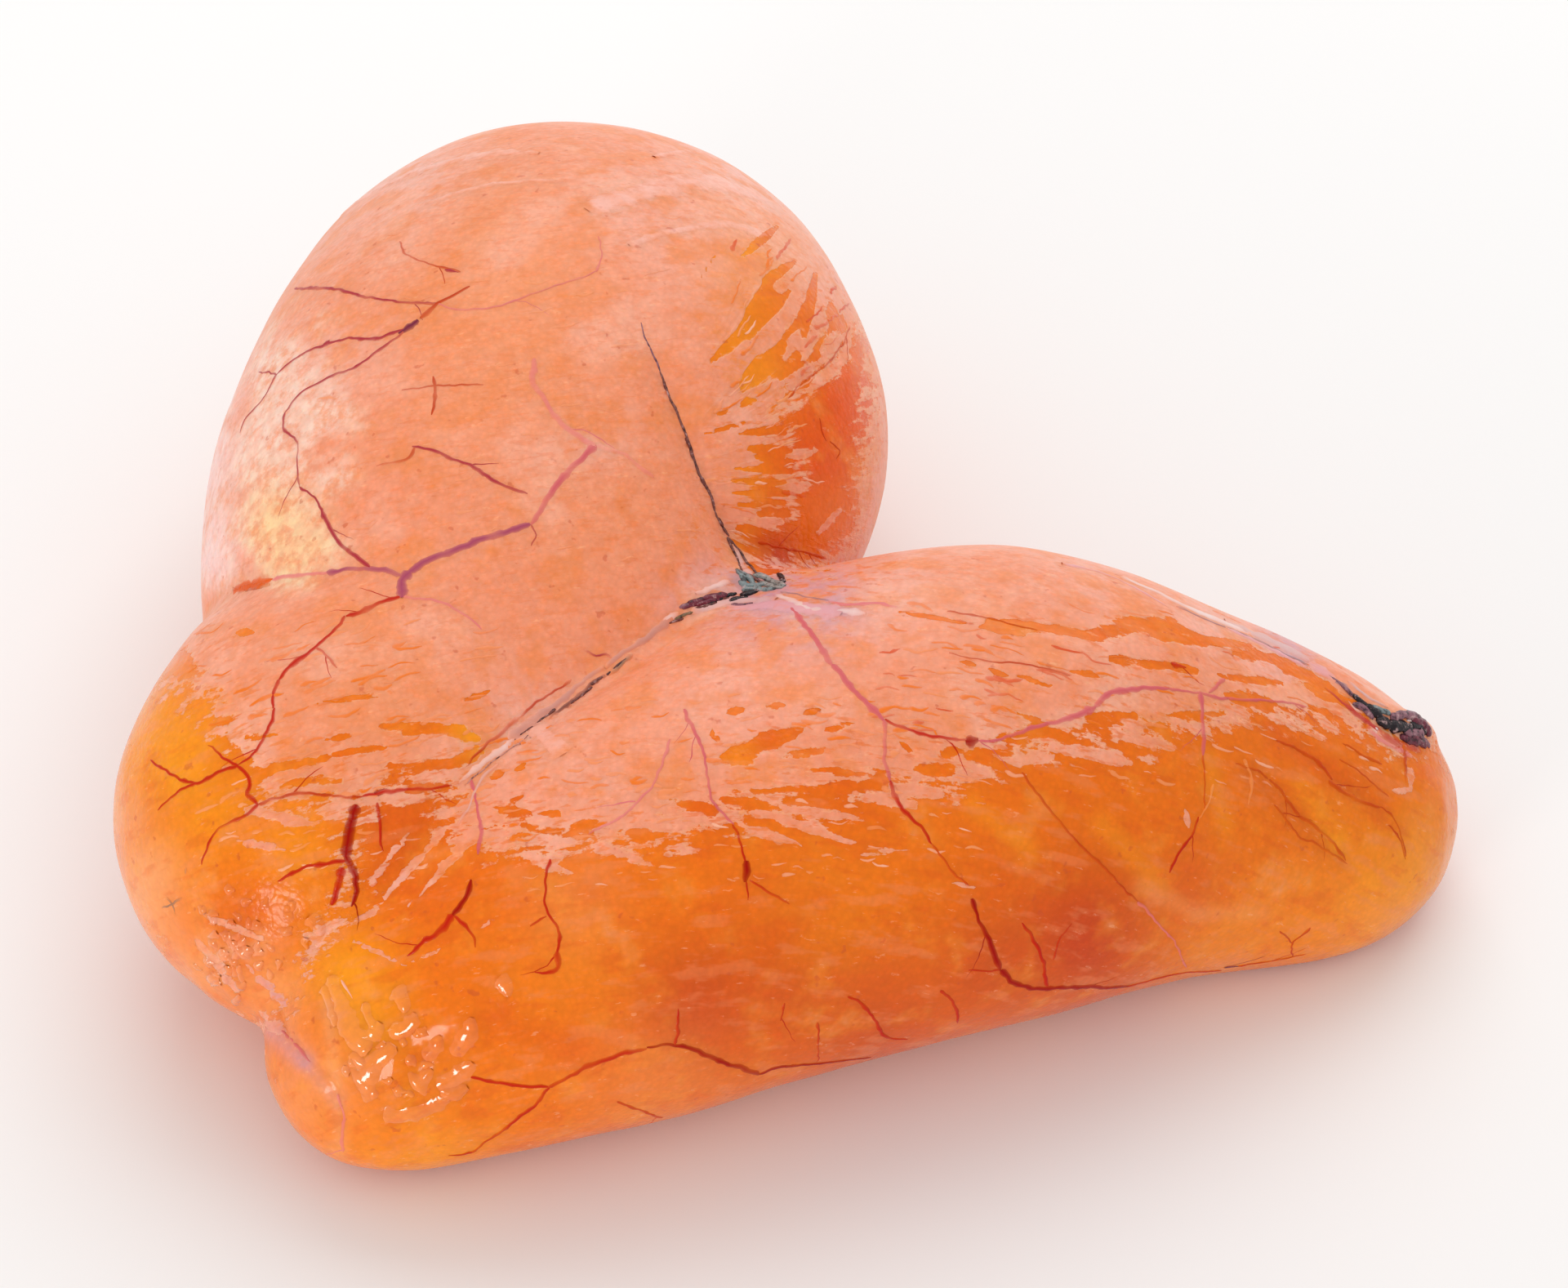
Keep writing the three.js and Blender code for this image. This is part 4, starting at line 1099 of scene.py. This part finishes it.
# Colour, width in mm at the start and at the end, how strongly it shows, and its course.
MEMBRANES_SHEEN_AND_SHADE = (
    (TAWNY, 0.8, 0.8, 0.7, ((826, 753), (798, 775), (770, 795), (740, 817))),
    (TAWNY, 0.8, 1.0, 0.8, ((739, 817), (721, 830), (704, 844), (674, 868), (623, 906))),
    (STAIN, 0.5, 0.5, 0.65, ((775, 802), (758, 814), (744, 825))),
    (UMBER, 0.5, 0.6, 0.75, ((744, 825), (727, 837), (709, 851), (690, 866), (672, 880))),
    (SHELL_WHITE, 0.9, 0.6, 0.45, ((630, 905), (604, 925), (582, 942), (562, 960))),
    (ASH, 0.4, 0.4, 0.4, ((610, 935), (590, 955), (575, 985), (560, 1010))),
    (RUST, 0.3, 0.5, 0.8, ((700, 832), (680, 846), (659, 859), (634, 879))),
    (RUST, 0.5, 0.3, 0.8, ((634, 879), (613, 898), (587, 921), (570, 940))),
    (WINE, 0.3, 0.4, 0.8, ((715, 795), (730, 803), (742, 801), (748, 806))),
    (ASH, 1.0, 1.4, 0.6, ((897, 664), (905, 682), (913, 698), (918, 708))),
    (SHELL_WHITE, 0.7, 1.2, 0.5, ((852, 727), (866, 722), (880, 716), (896, 711))),
    (SHELL_WHITE, 0.9, 0.9, 0.8, ((812, 762), (820, 755), (830, 749))),
    (ASH, 0.9, 2.4, 0.7, ((846, 750), (870, 742), (895, 736), (925, 734), (950, 734))),
    (MAUVE, 1.8, 3.0, 0.7, ((890, 744), (925, 742), (950, 740), (985, 744), (1030, 752))),
    (SHELL_WHITE, 0.8, 1.2, 0.6, ((950, 728), (985, 744), (1020, 748), (1060, 752))),
    # Painted shade: mauve-grey strips beside the pale membrane at the hub.
    (SHADE_MAUVE, 1.6, 1.4, 0.6, ((890, 700), (905, 712), (922, 722), (945, 722))),
    (SHADE_MAUVE, 0.35, 0.3, 0.7, ((956, 724), (975, 728), (992, 732), (1020, 736))),
    (ROSE, 0.5, 0.7, 0.8, ((1015, 736), (1036, 740), (1070, 738), (1100, 745))),
    (SHELL_WHITE, 1.0, 2.4, 0.75, ((1372, 706), (1410, 722), (1450, 742), (1490, 758), (1530, 774))),
    (ASH, 2.0, 2.4, 0.75, ((1500, 760), (1540, 778), (1576, 794), (1604, 810))),
    # Painted shade: the grey shadow under the white band on the ridge.
    (SHADE_MAUVE, 0.4, 0.7, 0.7, ((1440, 742), (1480, 760), (1530, 780), (1576, 802), (1606, 818))),
    (MAUVE, 0.8, 0.6, 0.6, ((1300, 690), (1345, 700), (1390, 720), (1430, 744))),
    (MAUVE, 0.8, 1.0, 0.7, ((1500, 768), (1540, 786), (1576, 804), (1604, 820))),
    # The rosy strips on the dome's top and left rim are painted sheen.
    (ROSY, 3.0, 6.0, 0.25, ((720, 258), (790, 234), (860, 222), (940, 244))),
    (ROSY, 1.0, 2.6, 0.25, ((770, 300), (840, 280), (900, 276), (940, 290))),
    (ROSY, 0.8, 1.8, 0.25, ((800, 192), (850, 186), (900, 200))),
    (ROSY, 3.0, 2.0, 0.22, ((420, 262), (500, 214), (590, 190), (660, 188))),
    (ROSY, 1.0, 0.8, 0.22, ((520, 250), (600, 226), (690, 222))),
    (ROSY, 3.0, 5.0, 0.6, ((286, 420), (262, 480), (248, 540), (242, 600), (240, 660))),
    (ROSY, 3.0, 3.0, 0.6, ((250, 600), (248, 650), (246, 690), (244, 720))),
    (ROSY, 2.0, 2.8, 0.25, ((654, 890), (672, 904), (690, 924))),
    (MAUVE, 2.6, 1.4, 0.8, ((1602, 812), (1618, 822), (1636, 834))),
    # Painted shade beside the membrane at the right tip.
    (SHADE_MAUVE, 0.6, 1.0, 0.8, ((1612, 816), (1628, 828), (1642, 838), (1652, 847))),
    (SCARLET, 0.6, 0.9, 0.8, ((1622, 842), (1638, 856), (1652, 868), (1666, 878))),
    (SCARLET, 0.7, 1.2, 0.8, ((1644, 856), (1658, 872), (1680, 890), (1694, 900))),
    (SCARLET, 1.2, 1.6, 0.7, ((1686, 896), (1704, 908), (1722, 914), (1740, 920))),
    (ROSE, 0.8, 1.2, 0.6, ((1672, 888), (1692, 906), (1712, 918), (1730, 926))),
    (SHELL_WHITE, 0.4, 0.5, 0.9, ((1650, 858), (1660, 868), (1668, 874))),
    # Painted glint: the white strip below, on the red fringe.
    (SHELL_WHITE, 0.5, 0.6, 0.9, ((1676, 889), (1686, 896), (1694, 902))),
    (ASH, 0.7, 0.5, 0.8, ((1650, 834), (1668, 848), (1684, 858), (1700, 866))),
    (RUST, 0.7, 0.4, 0.8, ((1719, 912), (1722, 935), (1721, 958))),
    (STAIN, 0.3, 0.3, 0.7, ((198, 1112), (208, 1109), (224, 1100))),
    (STAIN, 0.3, 0.3, 0.7, ((204, 1098), (212, 1109), (214, 1120))),
    (STAIN, 0.3, 0.2, 0.6, ((228, 1062), (227, 1072))),
)
torn = []
for hue, start, end, strength, course in MEMBRANES_SHEEN_AND_SHADE:
    torn.append((hue, start, end, strength, lay_on_skin(course)))
ribbons("torn_membrane", torn, wet_strips, 5)

# Its dark part is drawn out into knotted cords: down the dome's fold, in a tangle where the folds
# meet, and in a clotted bunch at the right tip.
SLATE = (124, 74, 66)
SEA_GREY = (122, 136, 138)
STONE = (150, 148, 144)
BLACKISH = (26, 14, 22)
DARK_PLUM = (112, 40, 58)
OLIVE = (126, 100, 70)
CLOT = (140, 92, 104)
# Colour, thickness in mm at the start and at the end, and the course over the photograph.
CORDS_AND_GLINTS = (
    (CLOT, 0.15, 0.28, ((784, 395), (790, 412), (797, 430), (808, 455))),
    (SLATE, 0.28, 0.36, ((808, 455), (822, 490), (838, 528), (845, 548))),
    (SLATE, 0.36, 0.38, ((845, 548), (855, 575), (866, 598), (874, 617), (882, 640), (892, 657))),
    (UMBER, 0.5, 0.4, ((812, 466), (816, 478))),
    (UMBER, 0.45, 0.5, ((840, 536), (848, 556))),
    (UMBER, 0.5, 0.5, ((858, 582), (864, 596))),
    (UMBER, 0.5, 0.55, ((880, 634), (885, 646))),
    (SLATE, 0.35, 0.3, ((892, 657), (899, 676), (906, 692), (910, 706))),
    (SLATE, 0.35, 0.35, ((892, 657), (905, 675), (917, 691), (929, 704))),
    (SEA_GREY, 0.8, 1.0, ((902, 697), (908, 706), (912, 718), (916, 726))),
    (SEA_GREY, 0.9, 1.0, ((908, 700), (918, 709), (926, 718), (932, 724))),
    (SEA_GREY, 0.9, 1.0, ((904, 712), (914, 716), (926, 717), (938, 716))),
    (SEA_GREY, 0.9, 0.8, ((908, 723), (922, 722), (936, 722), (950, 721))),
    (STONE, 0.9, 1.0, ((922, 704), (938, 709), (952, 714), (961, 718))),
    (STONE, 0.8, 0.8, ((930, 714), (944, 717), (958, 720))),
    (SLATE, 0.5, 0.5, ((914, 703), (926, 711), (940, 714))),
    (BLACKISH, 0.7, 0.8, ((952, 702), (957, 707), (959, 714))),
    (BLACKISH, 0.8, 1.0, ((906, 729), (916, 727), (929, 723))),
    (BLACKISH, 0.5, 0.8, ((916, 730), (904, 732), (893, 736))),
    (UMBER, 0.4, 0.5, ((893, 732), (882, 733), (872, 736))),
    (CLOT, 0.7, 0.4, ((896, 740), (910, 741), (922, 738))),
    (DARK_PLUM, 0.4, 0.8, ((836, 746), (850, 741), (866, 738), (882, 734))),
    (DARK_PLUM, 0.7, 0.9, ((842, 739), (856, 735), (872, 731), (890, 727))),
    (BLACKISH, 0.3, 0.7, ((856, 741), (872, 736), (888, 731), (902, 727))),
    (CLOT, 0.5, 0.4, ((832, 744), (842, 739), (852, 734))),
    (UMBER, 0.3, 0.5, ((848, 746), (862, 742), (878, 738))),
    (OLIVE, 0.4, 0.4, ((826, 758), (838, 752), (850, 749))),
    (UMBER, 0.2, 0.4, ((808, 769), (820, 764), (836, 756))),
    (UMBER, 0.25, 0.4, ((773, 801), (755, 815), (741, 826), (730, 835))),
    (UMBER, 0.45, 0.5, ((733, 833), (723, 840))),
    (UMBER, 0.4, 0.3, ((725, 841), (710, 853), (697, 863))),
    (UMBER, 0.5, 0.5, ((680, 868), (671, 876))),
    (SLATE, 0.3, 0.2, ((674, 874), (650, 890), (626, 908))),
    (TAWNY, 0.12, 0.18, ((650, 899), (615, 924), (590, 944), (572, 960))),
    (CLOT, 0.4, 0.8, ((1630, 829), (1646, 842), (1658, 852))),
    (BLACKISH, 0.8, 1.0, ((1654, 850), (1666, 860), (1676, 868))),
    (CLOT, 0.9, 1.0, ((1656, 862), (1668, 868), (1682, 879))),
    (BLACKISH, 1.1, 1.3, ((1672, 864), (1682, 873), (1692, 881))),
    (SEA_GREY, 0.7, 0.8, ((1680, 864), (1690, 870), (1702, 876))),
    (BLACKISH, 1.4, 1.7, ((1685, 880), (1696, 886), (1708, 889))),
    (BLACKISH, 1.8, 1.6, ((1700, 888), (1713, 890), (1728, 892))),
    (CLOT, 1.2, 1.4, ((1702, 879), (1716, 876), (1730, 878), (1740, 882))),
    (DARK_PLUM, 1.4, 1.6, ((1728, 881), (1740, 886), (1747, 894), (1749, 902))),
    (CLOT, 1.3, 1.4, ((1718, 896), (1730, 897), (1742, 900))),
    (BLACKISH, 1.0, 1.0, ((1726, 888), (1738, 890), (1746, 898))),
    (DARK_PLUM, 1.1, 1.2, ((1714, 903), (1730, 907), (1746, 912))),
    (CLOT, 0.8, 0.8, ((1736, 904), (1746, 908), (1750, 915))),
    # Painted glints: the three small pale lumps below.
    (SHELL_WHITE, 0.4, 0.5, ((1683, 891), (1688, 894))),
    (SHELL_WHITE, 0.35, 0.4, ((1684, 870), (1689, 873))),
    (SHELL_WHITE, 0.35, 0.4, ((1722, 881), (1728, 882))),
)
CORD_STEP = 0.0003
CORD_SIDES = 8
CORD_FLATNESS = 0.6
cord_places, cord_faces, cord_hues = [], [], []
for hue, start, end, course in CORDS_AND_GLINTS:
    course = lay_on_skin(course)
    if len(course) < 2:
        continue
    line = smooth_line(course, CORD_STEP)
    wave = chance.uniform(0, 100)
    rows = []
    for i in range(len(line)):
        share, at, normal, side = along(line, i)
        lumps = 1 + 0.3 * wobble(i, 0.15, wave, 2)
        lumps += 0.25 * wobble(i, 0.5, wave, 4)
        ends = math.sqrt(min(1, (i + 0.5) / 2, (len(line) - i - 0.5) / 2))
        radius = 0.5 * MM * (start + (end - start) * share) * lumps * ends
        drift = 0.0003 * wobble(i, 0.12, wave, 7)
        middle = at + side * drift + normal * 0.15 * radius
        rows.append([])
        for k in range(CORD_SIDES):
            turn = 2 * math.pi * k / CORD_SIDES
            bulge = 1 + 0.3 * wobble(i, 0.4, wave + 1.3 * k, 3)
            rows[-1].append(len(cord_places))
            offset = math.cos(turn) * side + CORD_FLATNESS * math.sin(turn) * normal
            cord_places.append(middle + bulge * radius * offset)
            cord_hues.append(colour(hue))
    for here, after in zip(rows, rows[1:]):
        for k in range(CORD_SIDES):
            m = (k + 1) % CORD_SIDES
            cord_faces.append((here[k], here[m], after[m], after[k]))
    cord_faces.append(tuple(reversed(rows[0])))
    cord_faces.append(tuple(rows[-1]))

lining = new_piece("gut_lining", cord_places, cord_faces)
work_on(lining)
bpy.ops.mesh.normals_make_consistent(inside=False)
bpy.ops.object.mode_set(mode="OBJECT")
keep(lining.data, "dye", "FLOAT_COLOR", cord_hues)

dark_lining = bpy.data.materials.new("dark gut lining")
tree, out = shader(dark_lining)
place = add(tree, "TexCoord", {}).outputs["Object"]
fibres = cloud(place, 0.0008, 4.0, 0.65)
dye = blend(between(fibres, 0.50, 0.36, 0.0, 0.8), read("dye", "Color"), colour(BLACKISH))
dye = blend(between(fibres, 0.54, 0.70, 0.0, 0.6), dye, colour(ASH))
bump = add(tree, "Bump", {"Strength": 1.0, "Distance": MM, "Height": maths("MULTIPLY", fibres, 0.25)})
lining_look = add(
    tree,
    "BsdfPrincipled",
    {"Base Color": dye, "Roughness": 0.22, "Specular IOR Level": 0.3, "Normal": bump.outputs[0]},
)
tree.links.new(lining_look.outputs[0], out.inputs["Surface"])
lining.data.materials.append(dark_lining)
round_off(lining.data)
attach(lining, "root")
